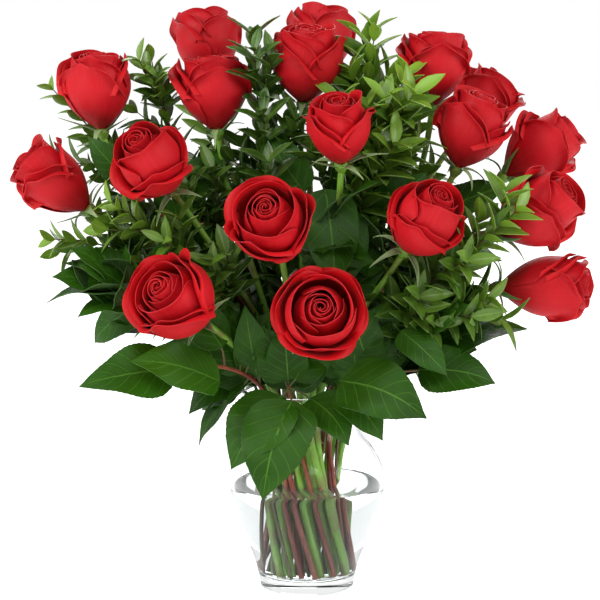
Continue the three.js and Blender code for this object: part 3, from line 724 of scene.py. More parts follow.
def leaf_material(name, colour, pale, rough, pairs, gloss):
    """Leaf face: pale midrib and side veins, darker cells between them."""
    material, tree, shader = new_material(name)
    veins = placed(tree, vein_group(), Pairs=pairs, Slant=1.7, Vein_Width=0.055, Rib_Width=0.045)
    mottle = placed(tree, mottle_group(), Patch_Scale=35.0, Speck_Scale=420.0)
    base = blend(tree, ramp(tree, mottle.outputs["Patches"], 0.3, 0.7),
                 shade(colour, 0.62), shade(colour, 1.45))
    between = ramp(tree, veins.outputs["Cells"], 0.0, 0.12, 0.0, 0.5)
    base = blend(tree, between, base, colour)
    # A higher age value turns a leaf lighter; the inner lemon leaves are kept low, which is painted
    # shade.
    base = blend(tree, veins.outputs["Age"], base, shade(colour, 1.9))
    marks = maths(tree, "MAXIMUM", maths(tree, "MULTIPLY", veins.outputs["Side Veins"], 0.42),
                  maths(tree, "MULTIPLY", veins.outputs["Midrib"], 0.85))
    base = blend(tree, marks, base, pale)
    surfaced(tree, shader, base, mottle.outputs["Specks"], rough - 0.06, rough + 0.08)
    set_plain(shader, {"Specular IOR Level": gloss})
    raised = maths(tree, "ADD", maths(tree, "MULTIPLY", veins.outputs["Side Veins"], -1.0),
                   maths(tree, "MULTIPLY", veins.outputs["Cells"], 1.5))
    bumped(tree, shader, raised, 0.5, 0.3 * MM)
    return material


def myrtle_material(name, old, young):
    """Narrow leaves that run from dark green to a fresh yellow green at the tip of a spray."""
    material, tree, shader = new_material(name)
    veins = placed(tree, vein_group(), Pairs=1.0, Slant=0.5, Vein_Width=0.02, Rib_Width=0.2)
    mottle = placed(tree, mottle_group(), Patch_Scale=90.0, Speck_Scale=800.0)
    base = blend(tree, veins.outputs["Age"], old, young)
    bright = blend(tree, 0.5, base, young)
    base = blend(tree, ramp(tree, mottle.outputs["Patches"], 0.35, 0.75, 0.0, 0.4), base, bright)
    base = blend(tree, maths(tree, "MULTIPLY", veins.outputs["Midrib"], 0.35), base,
                 (0.30, 0.45, 0.12))
    surfaced(tree, shader, base, mottle.outputs["Specks"], 0.30, 0.46)
    set_plain(shader, {"Specular IOR Level": 0.5})
    bumped(tree, shader, mottle.outputs["Specks"], 0.25, 0.15 * MM)
    return material


def bark_material(name, colour, streak, rough):
    """Bark: streaks and specks along a stem, with painted shade below the water."""
    material, tree, shader = new_material(name)
    mottle = placed(tree, mottle_group(), Patch_Scale=38.0, Speck_Scale=650.0)
    base = blend(tree, ramp(tree, mottle.outputs["Patches"], 0.42, 0.68), colour, streak)
    specks = ramp(tree, mottle.outputs["Specks"], 0.55, 0.75, 0.0, 0.6)
    base = blend(tree, specks, base, shade(colour, 0.5))
    place = wire(tree, "ShaderNodeTexCoord").outputs["Object"]
    level = wire(tree, "ShaderNodeSeparateXYZ", {0: place}).outputs[2]
    # Painted shade: the bark is darkened below the water line.
    above_water = ramp(tree, level, (WATER_TOP - 1) * MM, (WATER_TOP + 2) * MM)
    base = blend(tree, above_water, blend(tree, UNDERWATER_PAINTED_SHADE, base, (0.0, 0.0, 0.0)), base)
    surfaced(tree, shader, base, mottle.outputs["Specks"], rough - 0.08, rough + 0.1)
    bumped(tree, shader, mottle.outputs["Specks"], 0.5, 0.35 * MM)
    return material


def clear_material(name, tint, ior, gloss):
    """Clear glass or water, through which the lamps still light what stands inside."""
    material, tree, shader = new_material(name)
    set_plain(shader, {
        "Base Color": (*tint, 1), "Roughness": 0.0, "IOR": ior,
        "Specular Tint": (gloss, gloss, gloss, 1), "Transmission Weight": 1.0})
    path = tree.nodes.new("ShaderNodeLightPath")
    clear = wire(tree, "ShaderNodeBsdfTransparent", {"Color": (*tint, 1)})
    mix = wire(tree, "ShaderNodeMixShader", {
        0: path.outputs["Is Shadow Ray"], 1: shader.outputs[0], 2: clear.outputs[0]})
    tree.links.new(mix.outputs[0], tree.nodes["Material Output"].inputs["Surface"])
    return material


def seen_through(tree, glossy):
    """1 for the camera's own rays, a little less through glass, and a share for reflections."""
    path = tree.nodes.new("ShaderNodeLightPath").outputs
    clear = maths(tree, "MULTIPLY", path["Is Transmission Ray"], 0.85)
    mirrored = maths(tree, "MULTIPLY", path["Is Glossy Ray"], glossy)
    return maths(tree, "MAXIMUM", path["Is Camera Ray"], maths(tree, "MAXIMUM", clear, mirrored))


def stage_material():
    material, tree, shader = new_material("Stage White")
    set_plain(shader, {
        "Base Color": (0.9, 0.9, 0.9, 1), "Roughness": 0.75, "Emission Color": (1, 1, 1, 1)})
    glow = wire(tree, "ShaderNodeMapRange", {
        "Value": seen_through(tree, 0.0), "To Min": 0.32, "To Max": 0.78}).outputs[0]
    tree.links.new(glow, shader.inputs["Emission Strength"])
    return material


# ---------------------------------------------------------------- petals

def meridian(rose, girth, taper, lean, edge, arc, begin, roll, rows):
    """Radius and height along petals from base to edge: a cup whose upper edge rolls back."""
    r = np.full(len(edge), girth * CUP_START)
    z = np.full(len(edge), PETAL_ROOT * MM)
    radii, heights = [r], [z]
    cup = (1 - CUP_START) * CUP_POWER / CUP_SHARE
    shut = taper * 1.5 / (1 - CUP_SHARE)
    for row in range(1, rows):
        s = (row - 0.5) / (rows - 1)
        step = arc * edge / (rows - 1)
        level = np.clip(z / rose["length"], 0, 1)
        rise = cup * np.clip(1 - level / CUP_SHARE, 0, 1) ** (CUP_POWER - 1)
        rise = rise - shut * np.sqrt(np.clip((level - CUP_SHARE) / (1 - CUP_SHARE), 0, 1))
        angle = np.arctan(girth / rose["length"] * rise) + lean * min(1, s / LEANS_BY)
        angle = angle + roll * max(0.0, (s - begin) / (1 - begin)) ** ROLL_POWER
        r = np.maximum(r + np.sin(angle) * step, LEAST_RADIUS * MM)
        z = z + np.cos(angle) * step
        radii.append(r)
        heights.append(z)
    return np.array(radii).T, np.array(heights).T


def fitted_meridian(rose, girth, taper, lean, edge, tall, begin, roll, rows):
    """The meridian that fills the girth and rises to the wanted share of the bloom's length."""
    arc = rose["length"] * tall * 1.2
    middle = len(edge) // 2
    drive = girth
    for _ in range(6):
        radii, heights = meridian(rose, drive, taper, lean, edge, arc, begin, roll, rows)
        arc *= rose["length"] * tall / heights[middle].max()
        body = radii[middle][heights[middle] < rose["length"] * 0.5]
        drive *= girth / body.max()
    return meridian(rose, drive, taper, lean, edge, arc, begin, roll, rows)


def rim_taper(rose, settings):
    """How much a bloom narrows above its middle, so that its lips reach the rim's radius."""
    _, _, tall, roll, begin, _ = PETAL_RINGS[0]
    lean = math.radians(RING_LEANS[0]) * rose["open"] * settings.opening
    roll = math.radians(roll) * settings.roll * 0.85
    low, high = -0.3, 0.45
    for _ in range(12):
        taper = (low + high) / 2
        radii, _ = fitted_meridian(rose, rose["girth"], taper, lean, np.ones(1), tall, begin,
                                   roll, 24)
        if radii[0, -8:].max() > rose["rim"]:
            low = taper
        else:
            high = taper
    return taper


def petal_grid(rose, ring, turn, chance, settings):
    """Points of one petal in its rose's own frame."""
    _, share, height, roll, start, half = PETAL_RINGS[ring]
    large = ring < LARGE_RINGS
    guard = ring < GUARD_RINGS
    columns, rows = LARGE_PETAL if large else SMALL_PETAL
    u = np.linspace(-1, 1, columns)
    girth = rose["girth"] * share
    lean = math.radians(RING_LEANS[ring]) * rose["open"] * settings.opening
    strength = math.radians(roll) * settings.roll * chance.uniform(0.6, 1.15)
    sides = 0.40 + 0.60 * smooth_step(0, 0.65, np.abs(u))
    wave = chance.uniform(-0.14, 0.14) * np.sin(u * chance.uniform(2, 5) + chance.uniform(0, 6))
    begin = start + chance.uniform(-0.04, 0.04)
    tall = height + (chance.uniform(-0.09, 0.03) if large else chance.uniform(-0.02, 0.01))
    if guard:
        tall *= rose["guard"]
        edge = 1 - 0.10 * u ** 2 - 0.24 * np.abs(u) ** 5 + 0.05 * np.exp(-(u / 0.15) ** 2)
    else:
        edge = 1 - 0.035 * u ** 2 - 0.09 * np.abs(u) ** 6
    wobble = chance.uniform(-0.06, 0.06, 2)
    edge = edge + wobble[0] * np.sin(u * 3 + 1) * 0.3 + wobble[1] * np.cos(u * 7) * 0.12
    taper = rose["taper"] + (0 if ring < BUD_FROM else BUD_CLOSES)
    r, z = fitted_meridian(rose, girth, taper, lean, edge, tall, begin,
                           strength * (sides + wave), rows)
    s = np.linspace(0, 1, rows)[None, :]
    width = 0.5 + 0.5 * smooth_step(0, 0.4, s)
    tuck = (1.3 if large else 1.6) * MM * u[:, None] * smooth_step(0.1, 0.5, s)
    angle = turn + math.radians(half) * u[:, None] * width * girth / np.maximum(r, girth * 0.9)
    ripples = chance.uniform(4, 8)
    phase = chance.uniform(0, 6)
    flare = (0.6 if guard else 0.3) * MM * np.sin(u[:, None] * ripples + s * 3 + phase)
    r = r + tuck + flare * smooth_step(0.5, 1, s)
    grid = layered(r * np.cos(angle), r * np.sin(angle), z)
    return grid, layered(u[:, None], s, ring / (len(PETAL_RINGS) - 1))


def make_bloom(number, rose, settings, materials):
    rose["open"] = OPENNESS.get(number, 0.0)
    rose["guard"] = GUARD_HEIGHTS.get(number, 1.0)
    rose["taper"] = rim_taper(rose, settings)
    chance = np.random.default_rng(settings.seed * 100 + number)
    to_world = frame_along(rose["axis"], FRONT)
    sheets = Sheets()
    turn = chance.uniform(0, 2 * math.pi)
    for ring, (count, *_) in enumerate(PETAL_RINGS):
        turn += GOLDEN_TURN / 2 + math.pi / max(count, 2)
        for part in range(count):
            at = turn + 2 * math.pi * part / count + chance.uniform(-0.09, 0.09)
            grid, marks = petal_grid(rose, ring, at, chance, settings)
            grid = grid @ to_world.T + rose["hip"]
            # The face of a petal looks to the bloom's axis, its back looks out.
            sheets.add(grid[::-1], settings.petal_thickness, marks[::-1], 0, 1)
    name = f"Bloom_{number:02d}"
    bloom = shown(name, sheets.mesh(name, materials))
    finished(bloom, f"rose_{number:02d}_bloom")


# ---------------------------------------------------------------- wood and thorns

def named_value(tree, name, kind="FLOAT"):
    return wire(tree, "GeometryNodeInputNamedAttribute", {"Name": name}, data_type=kind).outputs[0]


def wood_along(tree, start, facets, step):
    """The lines that come in as a curve, and round wood along it, as thick as their girth."""
    curve = wire(tree, "GeometryNodeMeshToCurve", {"Mesh": start.outputs["Geometry"]}).outputs[0]
    even = wire(tree, "GeometryNodeResampleCurve", {"Curve": curve, "Length": step}, mode="LENGTH")
    section = wire(tree, "GeometryNodeCurvePrimitiveCircle", {"Resolution": facets, "Radius": 1.0})
    wood = wire(tree, "GeometryNodeCurveToMesh", {
        "Curve": even.outputs[0], "Profile Curve": section.outputs[0],
        "Scale": named_value(tree, "girth"), "Fill Caps": True})
    return curve, wood.outputs[0]


def spaced_points(tree, curve, spacing):
    return wire(tree, "GeometryNodeCurveToPoints", {"Curve": curve, "Length": spacing},
                mode="LENGTH").outputs


def made_real(tree, *parts):
    """Several geometries as one, with every instance made real."""
    both = tree.nodes.new("GeometryNodeJoinGeometry")
    for part in parts:
        tree.links.new(part, both.inputs[0])
    return wire(tree, "GeometryNodeRealizeInstances", {0: both.outputs[0]}).outputs[0]


def two_materials(tree, geometry, wood, detail, end):
    """Ends a tree: one material on the wood, another on the faces marked as thorns or leaves."""
    all_wood = wire(tree, "GeometryNodeSetMaterial", {"Geometry": geometry, "Material": wood})
    both = wire(tree, "GeometryNodeSetMaterial", {
        "Geometry": all_wood.outputs[0], "Selection": named_value(tree, "is_detail", "BOOLEAN"),
        "Material": detail})
    tree.links.new(both.outputs[0], end.inputs[0])


def wood_tree():
    """Round wood along the lines of a mesh, with thorns set on it at even distances."""
    name = "Wood With Thorns"
    if name in bpy.data.node_groups:
        return bpy.data.node_groups[name]
    tree, start, end = new_tree(name, "GeometryNodeTree", [
        ("Geometry", "Geometry"), ("Thorn Length", "Float", 4 * MM),
        ("Thorn Spacing", "Float", 33 * MM), ("Thorns", "Bool", True), ("Seed", "Int", 1),
        ("Wood", "Material"), ("Thorn Material", "Material"),
    ], [("Geometry", "Geometry")])
    curve, wood = wood_along(tree, start, 10, 5 * MM)
    points = spaced_points(tree, curve, start.outputs["Thorn Spacing"])
    chance = wire(tree, "FunctionNodeRandomValue", {
        0: (-1, -1, -1), 1: (1, 1, 1), "Seed": start.outputs["Seed"]}, data_type="FLOAT_VECTOR")
    out = vectors(tree, "CROSS_PRODUCT", points["Tangent"], chance.outputs[0])
    out = vectors(tree, "NORMALIZE", out)
    way = vectors(tree, "ADD", out, vectors(tree, "SCALE", points["Tangent"], -0.35))
    turned = wire(tree, "FunctionNodeAlignRotationToVector", {"Vector": way}, axis="Z")
    moved = wire(tree, "GeometryNodeSetPosition", {
        "Geometry": points[0], "Offset": vectors(tree, "SCALE", out, 2.0 * MM)})
    thorn = wire(tree, "GeometryNodeMeshCone", {
        "Vertices": 6, "Side Segments": 2, "Radius Top": 0.05 * MM, "Radius Bottom": 1.5 * MM,
        "Depth": start.outputs["Thorn Length"]})
    thorn = wire(tree, "GeometryNodeStoreNamedAttribute", {
        "Geometry": thorn.outputs[0], "Name": "is_detail", "Value": True},
        data_type="BOOLEAN", domain="FACE")
    thorns = wire(tree, "GeometryNodeInstanceOnPoints", {
        "Points": moved.outputs[0], "Selection": start.outputs["Thorns"],
        "Instance": thorn.outputs[0], "Rotation": turned.outputs[0]})
    two_materials(tree, made_real(tree, thorns.outputs[0], wood), start.outputs["Wood"],
                  start.outputs["Thorn Material"], end)
    return tree


def line_mesh(name, lines):
    """Loose lines as a mesh. Each line is its points and its girth and youth at each point."""
    points, edges, girths, youths = [], [], [], []
    for line, girth, youth in lines:
        first = len(points)
        points.extend(line.tolist())
        edges.extend((first + i, first + i + 1) for i in range(len(line) - 1))
        girths.extend(np.broadcast_to(girth, len(line)).tolist())
        youths.extend(np.broadcast_to(youth, len(line)).tolist())
    mesh = bpy.data.meshes.new(name)
    mesh.from_pydata(points, edges, [])
    for label, values in (("girth", girths), ("youth", youths)):
        layer = mesh.attributes.new(label, "FLOAT", "POINT")
        layer.data.foreach_set("value", values)
    return mesh


def grown(mesh, tree, values):
    """Runs a geometry tree on a mesh and gives the plain mesh that comes out of it."""
    thing = shown("grow_" + mesh.name, mesh)
    modifier = thing.modifiers.new("Grow", "NODES")
    modifier.node_group = tree
    for item in tree.interface.items_tree:
        if item.item_type == "SOCKET" and item.in_out == "INPUT" and item.name in values:
            modifier[item.identifier] = values[item.name]
    seen = thing.evaluated_get(bpy.context.evaluated_depsgraph_get())
    result = bpy.data.meshes.new_from_object(seen)
    bpy.data.objects.remove(thing)
    return result


def merged(name, meshes):
    """One object from several meshes, with their materials kept."""
    things = [shown(f"{name}_part", mesh) for mesh in meshes]
    bpy.ops.object.select_all(action="DESELECT")
    for thing in things:
        thing.select_set(True)
    bpy.context.view_layer.objects.active = things[0]
    with bpy.context.temp_override(active_object=things[0], selected_editable_objects=things):
        bpy.ops.object.join()
    things[0].name = name
    things[0].data.name = name
    return things[0]


def turned_mesh(name, outline, place, sides, material):
    """A closed turned solid from an outline of (radius, height) that starts and ends on the axis."""
    to_world = frame_along(place["axis"], FRONT)
    points, faces = [], []
    rings = outline[1:-1]
    points.append((0, 0, outline[0][1]))
    for radius, high in rings:
        for i in range(sides):
            turn = 2 * math.pi * i / sides
            points.append((radius * math.cos(turn), radius * math.sin(turn), high))
    points.append((0, 0, outline[-1][1]))
    last = len(points) - 1
    for i in range(sides):
        j = (i + 1) % sides
        faces.append((0, 1 + j, 1 + i))
        for ring in range(len(rings) - 1):
            a, b = 1 + ring * sides, 1 + (ring + 1) * sides
            faces.append((a + i, a + j, b + j, b + i))
        top = 1 + (len(rings) - 1) * sides
        faces.append((top + i, top + j, last))
    points = np.array(points) @ to_world.T + place["hip"]
    mesh = bpy.data.meshes.new(name)
    mesh.from_pydata(points.tolist(), [], faces)
    mesh.materials.append(material)
    mesh.shade_smooth()
    return mesh


def sepal_grid(turn, length, spread):
    """One sepal: a narrow pointed sheet that leaves the hip and lies along the bloom or curls off."""
    u, s = grid_lines(7, 14)
    width = SEPAL_HALF_WIDTH * MM * np.interp(s, (0, 0.15, 0.4, 0.7, 1), (0.9, 1, 0.72, 0.34, 0.05))
    first, last = math.radians(SEPAL_LEAVES_AT), math.radians(spread)
    angle = first + (last - first) * s ** 0.8
    step = length / (s.size - 1)
    keel = (u ** 2) * width * 0.35
    r = SEPAL_START[0] * MM + np.cumsum(np.sin(angle), axis=1) * step - keel * np.cos(angle)
    z = SEPAL_START[1] * MM + np.cumsum(np.cos(angle), axis=1) * step + keel * np.sin(angle)
    across = u * width
    grid = layered(r * math.cos(turn) - across * math.sin(turn),
                   r * math.sin(turn) + across * math.cos(turn), z)
    return grid, layered(u, s, 0.0)


def make_rose_stem(number, rose, settings, materials):
    name = f"RoseStem_{number:02d}"
    node = f"rose_{number:02d}_stem"
    green, thorn_red, sepal_green, sepal_pale = materials
    chance = np.random.default_rng(settings.seed * 100 + number)
    line = wood_line(node, rose["hip"] - rose["axis"] * HIP_DEPTH * MM, settings.radius)
    along = np.linspace(0, 1, len(line))
    girth = settings.radius * (1.04 - 0.22 * along) * (1 + 0.05 * np.sin(along * 40 + number))
    wood = grown(line_mesh(name, [(line, girth, 0.0)]), wood_tree(), {
        "Thorn Length": settings.thorn_length, "Thorn Spacing": settings.thorn_spacing,
        "Thorns": True, "Seed": settings.seed + number, "Wood": green,
        "Thorn Material": thorn_red})
    outline = [(r * MM, z * MM) for r, z in HIP_OUTLINE]
    hip = turned_mesh(name + "_hip", outline, rose, HIP_SIDES, green)
    sheets = Sheets()
    to_world = frame_along(rose["axis"], FRONT)
    turn = chance.uniform(0, 2 * math.pi)
    spreads, chances = SEPAL_SPREADS
    for part in range(SEPALS):
        length = settings.sepal_length * chance.uniform(0.72, 1.08)
        spread = chance.choice(spreads, p=chances) + chance.uniform(-8, 8)
        at = turn + 2 * math.pi * part / SEPALS + chance.uniform(-0.12, 0.12)
        grid, marks = sepal_grid(at, length, spread)
        grid = clear_of_bloom(grid, rose) @ to_world.T + rose["hip"]
        sheets.add(grid, SEPAL_THICKNESS * MM, marks, 0, 1)
    sepals = sheets.mesh(name + "_sepals", [sepal_green, sepal_pale])
    stem = merged(name, [smoothed(wood, WOOD_SHARP), hip, sepals])
    finished(stem, node)


def clear_of_bloom(grid, rose):
    """Pushes a sepal out to the bloom's surface where it would lie inside it."""
    out = np.hypot(grid[..., 0], grid[..., 1])
    level = np.clip(grid[..., 2] / rose["length"] / CUP_SHARE, 0, 1)
    body = rose["girth"] * (1 - (1 - CUP_START) * (1 - level) ** CUP_POWER) + 1.4 * MM
    least = np.where(grid[..., 2] > -0.5 * MM, body, 0)
    grow = np.maximum(1, least / np.maximum(out, 1e-6))
    return grid * layered(grow, grow, 1.0)


# ---------------------------------------------------------------- lemon leaf

def lemon_grid(base, tip, half, side, arch, chance, columns, rows):
    """Points of one broad leaf: folded along its midrib, toothed, waved and hung at the tip."""
    length = np.linalg.norm(tip - base)
    u, s = grid_lines(columns, rows)
    width = half * np.interp(s, LEAF_STATIONS, LEAF_WIDTHS)
    teeth = 1 + 0.022 * (np.arange(rows) % 2)[None, :] * (np.abs(u) > 0.99)
    fold = np.abs(u) ** 1.3 * width * chance.uniform(0.03, 0.15)
    phase = chance.uniform(0, 6)
    wave = width * np.abs(u) ** 2 * 0.13 * np.sin(s * chance.uniform(7, 11) + phase + u * 1.2)
    quilt = 0.012 * half * np.sin(2 * math.pi * (6.5 * s - 1.7 * np.abs(u))) * (1 - u ** 2)
    bend = np.sin(math.pi * s) * arch - half * 0.30 * np.clip(s - 0.72, 0, 1) ** 2 * 6
    twist = chance.uniform(-0.35, 0.35) * s
    across = u * width * teeth
    rise = fold + wave + quilt
    sway = half * chance.uniform(-0.14, 0.14) * np.sin(math.pi * s)
    grid = layered(bend + rise * np.cos(twist) - across * np.sin(twist),
                   across * np.cos(twist) + rise * np.sin(twist) + sway, s * length)
    return grid @ frame_along(tip - base, side).T + base, layered(u, s, 0.0)


def nearest(line, place):
    return line[np.argmin(np.linalg.norm(line - place, axis=1))]


def stalk_line(line, base, tip):
    """A leaf stalk from the wood to a little way inside the leaf."""
    along = unit(tip - base)
    start = nearest(line[len(line) // 3:], base - along * 12 * MM)
    bend = base - along * 3 * MM
    end = base + along * 3 * MM
    t = np.linspace(0, 1, 8)[:, None]
    return start * (1 - t) ** 2 + bend * 2 * t * (1 - t) + end * t ** 2


def clear_place(points, roses, room):
    """Whether points stay out of every bloom."""
    for rose in roses:
        away = points - rose["hip"]
        high = away @ rose["axis"]
        out = np.linalg.norm(away - high[:, None] * rose["axis"], axis=1)
        inside = (high > -10 * MM) & (high < rose["length"] + 6 * MM)
        if np.any(inside & (out < max(rose["girth"], rose["rim"]) + room)):
            return False
    return True


def filler_leaves(line, roses, wanted, chance):
    """Smaller leaves along the wood inside the bouquet, kept out of the blooms."""
    leaves = []
    high = line[line[:, 2] > LEAFY_FROM * MM]
    if len(high) < 3:
        return leaves
    for _ in range(wanted * 14):
        if len(leaves) == wanted:
            break
        spot = high[chance.integers(0, len(high))]
        out = unit(np.array((spot[0], spot[1] * 1.3, 0)) + 1e-4)
        way = unit(out * chance.uniform(0.2, 1.0) + chance.normal(0, 0.45, 3)
                   + np.array((0, -0.15, chance.uniform(-0.15, 0.7))))
        base = spot + way * 7 * MM
        tip = base + way * chance.uniform(*INNER_LENGTHS) * MM
        half = chance.uniform(*INNER_HALF_WIDTHS) * MM
        face = unit(np.array((out[0] * 0.5, out[1] * 0.5 - 0.25, 0.8)) + chance.normal(0, 0.3, 3))
        path = base + (tip - base) * np.linspace(0, 1, 8)[:, None]
        wide = np.cross(way, face)
        wide = wide / max(np.linalg.norm(wide), 1e-6) * half
        ring = np.concatenate([path, path[2:7] + wide, path[2:7] - wide])
        if not clear_place(ring, roses, 2 * MM) or tip[2] < LEAF_TIPS_ABOVE * MM:
            continue
        x, y, z = ring.T / MM
        at_neck = (np.hypot(x, y) < NECK_RING[0]) & (z < NECK_RING[1])
        in_front = (y < FRONT_SPACE[0]) & (z < FRONT_SPACE[1])
        if np.any(at_neck | in_front):
            continue
        leaves.append((base, tip, half, face, chance.uniform(*INNER_ARCHES) * MM))
    return leaves


def make_lemon_branch(number, roses, settings, materials):
    name = f"LemonLeaf_{number:02d}"
    node = f"salal_{number:02d}"
    top, under, bark, stalk = materials
    chance = np.random.default_rng(settings.seed * 100 + number)
    end, leaves = LEMON_LEAVES[number - 1]
    line = wood_line(node, np.array(end) * MM, settings.wood_radius)
    leaves = [(np.array(base) * MM, np.array(tip) * MM, half * MM, side, arch * MM)
              for base, tip, half, side, arch in leaves]
    fillers = filler_leaves(line, roses, settings.fillers, chance)
    sheets = Sheets()
    girth = settings.wood_radius * np.linspace(1.1, 0.75, len(line))
    stalks = []
    for index, (base, tip, half, side, arch) in enumerate(leaves + fillers):
        outer = index < len(leaves)
        # The inner leaves draw from a lower range: painted shade inside the bouquet.
        detail, freshness_and_shade = ((OUTER_LEAF, LEAF_FRESHNESS) if outer
                             else (INNER_LEAF, INNER_FRESHNESS_AND_SHADE))
        grid, marks = lemon_grid(base, tip, half, side, arch, chance, *detail)
        marks[..., 2] = np.random.default_rng(number * 100 + index).uniform(*freshness_and_shade)
        sheets.add(grid, settings.thickness, marks, 0, 1)
        stalks.append((stalk_line(line, base, tip), STALK_RADIUS * MM, 0.0))
    wood = [smoothed(grown(line_mesh(label, lines), wood_tree(), {"Thorns": False, "Wood": kind}),
                     WOOD_SHARP)
            for label, lines, kind in ((name, [(line, girth, 0.0)], bark),
                                       (name + "_stalks", stalks, stalk))]
    branch = merged(name, [sheets.mesh(name + "_leaves", [top, under]), *wood])
    finished(branch, node)


# ---------------------------------------------------------------- myrtle

def myrtle_leaf_mesh():
    """The one narrow leaf that every spray repeats: a metre long, lying along z, face towards x."""
    u, s = grid_lines(3, 6)
    width = 0.2 * np.interp(s, (0, 0.2, 0.45, 0.7, 0.88, 1), (0.12, 0.72, 1, 0.78, 0.36, 0.03))
    grid = layered(np.abs(u) * width * 0.4 - 0.16 * s ** 2, u * width, s)
    sheets = Sheets()
    sheets.add(grid, 0.022, layered(u, s, 0.0), 0, 0)
    mesh = sheets.bare_mesh("myrtle_leaf")
    for index, label in enumerate(("leaf_across", "leaf_along")):
        layer = mesh.attributes.new(label, "FLOAT", "POINT")
        layer.data.foreach_set("value", np.concatenate(sheets.marks)[:, index].astype(np.float32))
    marked = mesh.attributes.new("is_detail", "BOOLEAN", "FACE")
    marked.data.foreach_set("value", [True] * len(mesh.polygons))
    return mesh


def spray_tree():
    """Twigs along the lines of a mesh, with pairs of leaves that turn a quarter from pair to pair."""
    name = "Leafy Spray"
    if name in bpy.data.node_groups:
        return bpy.data.node_groups[name]
    tree, start, end = new_tree(name, "GeometryNodeTree", [
        ("Geometry", "Geometry"), ("Leaf", "Object"), ("Leaf Length", "Float", 20 * MM),
        ("Pair Spacing", "Float", 7 * MM), ("Splay", "Float", 0.9), ("Seed", "Int", 1),
        ("Wood", "Material"), ("Leaf Material", "Material"),
    ], [("Geometry", "Geometry")])
    curve, wood = wood_along(tree, start, 7, 6 * MM)
    points = spaced_points(tree, curve, start.outputs["Pair Spacing"])
    tangent = points["Tangent"]
    youth = named_value(tree, "youth")
    leaf = wire(tree, "GeometryNodeObjectInfo", {"Object": start.outputs["Leaf"]})
    leafy = wire(tree, "FunctionNodeCompare", {0: youth, 1: 0.001}, operation="GREATER_THAN")
    index = tree.nodes.new("GeometryNodeInputIndex").outputs[0]

    def drawn(low, high):
        """A number drawn anew for each pair of leaves."""
        return wire(tree, "FunctionNodeRandomValue", {
            2: low, 3: high, "Seed": start.outputs["Seed"]}, data_type="FLOAT").outputs[1]

    pairs = []
    for hand in (0.0, math.pi):
        turn = maths(tree, "ADD", maths(tree, "MULTIPLY", index, math.pi / 2), hand)
        out = wire(tree, "ShaderNodeVectorRotate", {
            "Vector": points["Normal"], "Axis": tangent,
            "Angle": maths(tree, "ADD", turn, drawn(-0.35, 0.35))}, rotation_type="AXIS_ANGLE")
        splayed = vectors(tree, "SCALE", out.outputs[0], start.outputs["Splay"])
        turned = wire(tree, "FunctionNodeAxesToRotation", {
            "Primary Axis": vectors(tree, "ADD", tangent, splayed), "Secondary Axis": tangent},
            primary_axis="Z", secondary_axis="X")
        shrink = maths(tree, "SUBTRACT", 1.12, maths(tree, "MULTIPLY", youth, 0.34))
        scale = maths(tree, "MULTIPLY", maths(tree, "MULTIPLY", drawn(0.8, 1.15), shrink),
                      start.outputs["Leaf Length"])
        leaves = wire(tree, "GeometryNodeInstanceOnPoints", {
            "Points": points[0], "Selection": leafy.outputs[0],
            "Instance": leaf.outputs["Geometry"], "Rotation": turned.outputs[0], "Scale": scale})
        pairs.append(leaves.outputs[0])
    place = wire(tree, "ShaderNodeCombineXYZ", {
        "X": named_value(tree, "leaf_across"), "Y": named_value(tree, "leaf_along"), "Z": youth})
    noted = wire(tree, "GeometryNodeStoreNamedAttribute", {
        "Geometry": made_real(tree, *pairs, wood), "Name": "leaf_place",
        "Value": place.outputs[0]}, data_type="FLOAT_VECTOR")
    two_materials(tree, noted.outputs[0], start.outputs["Wood"], start.outputs["Leaf Material"],
                  end)
    return tree


def spray_lines(line, leafy, fresh, settings, roses, chance):
    """The main twig of a spray and its side twigs, with youth above 0 where leaves grow."""
    steps = np.linalg.norm(np.diff(line, axis=0), axis=1)
    to_tip = np.concatenate([np.cumsum(steps[::-1])[::-1], [0]])
    youth = np.clip(1 - to_tip / leafy, 0, 1) ** 1.3 * fresh
    girth = settings.wood_radius * np.clip(0.35 + to_tip / leafy * 0.7, 0.35, 1)
    lines = [(line, girth, youth)]
    low = np.array(CAD_BOUNDS[0]) + TWIG_MARGIN * MM
    high = np.array(CAD_BOUNDS[1]) - TWIG_MARGIN * MM
    for _ in range(settings.twigs * 8):
        if len(lines) > settings.twigs:
            break
        share = chance.uniform(*TWIG_STARTS)
        at = int(np.argmin(np.abs(to_tip - leafy * share)))
        if at == 0 or at >= len(line) - 1:
            continue
        along = unit(line[at + 1] - line[at - 1])
        out = unit(np.cross(along, chance.normal(0, 1, 3)))
        length = leafy * chance.uniform(*TWIG_LENGTHS) * (0.6 + 0.5 * min(share, 1))
        t = np.linspace(0, 1, TWIG_POINTS)[:, None]
        twig = line[at] + out * length * 0.62 * t ** 0.9 + along * length * 0.8 * t ** 1.15
        if not clear_place(twig, roses, 3 * MM) or np.any(twig[:, 2] < TWIGS_ABOVE * MM):
            continue
        if np.any(twig < low) or np.any(twig > high):
            continue
        ageing = 0.62 * np.linspace(0.1, 1, TWIG_POINTS) * (1.15 - min(share, 1))
        twig_youth = (0.08 + ageing + 0.12 * np.linspace(0, 1, TWIG_POINTS)) * fresh
        twig_girth = settings.wood_radius * np.linspace(0.5, 0.3, TWIG_POINTS)
        lines.append((twig, twig_girth, twig_youth))
    return lines


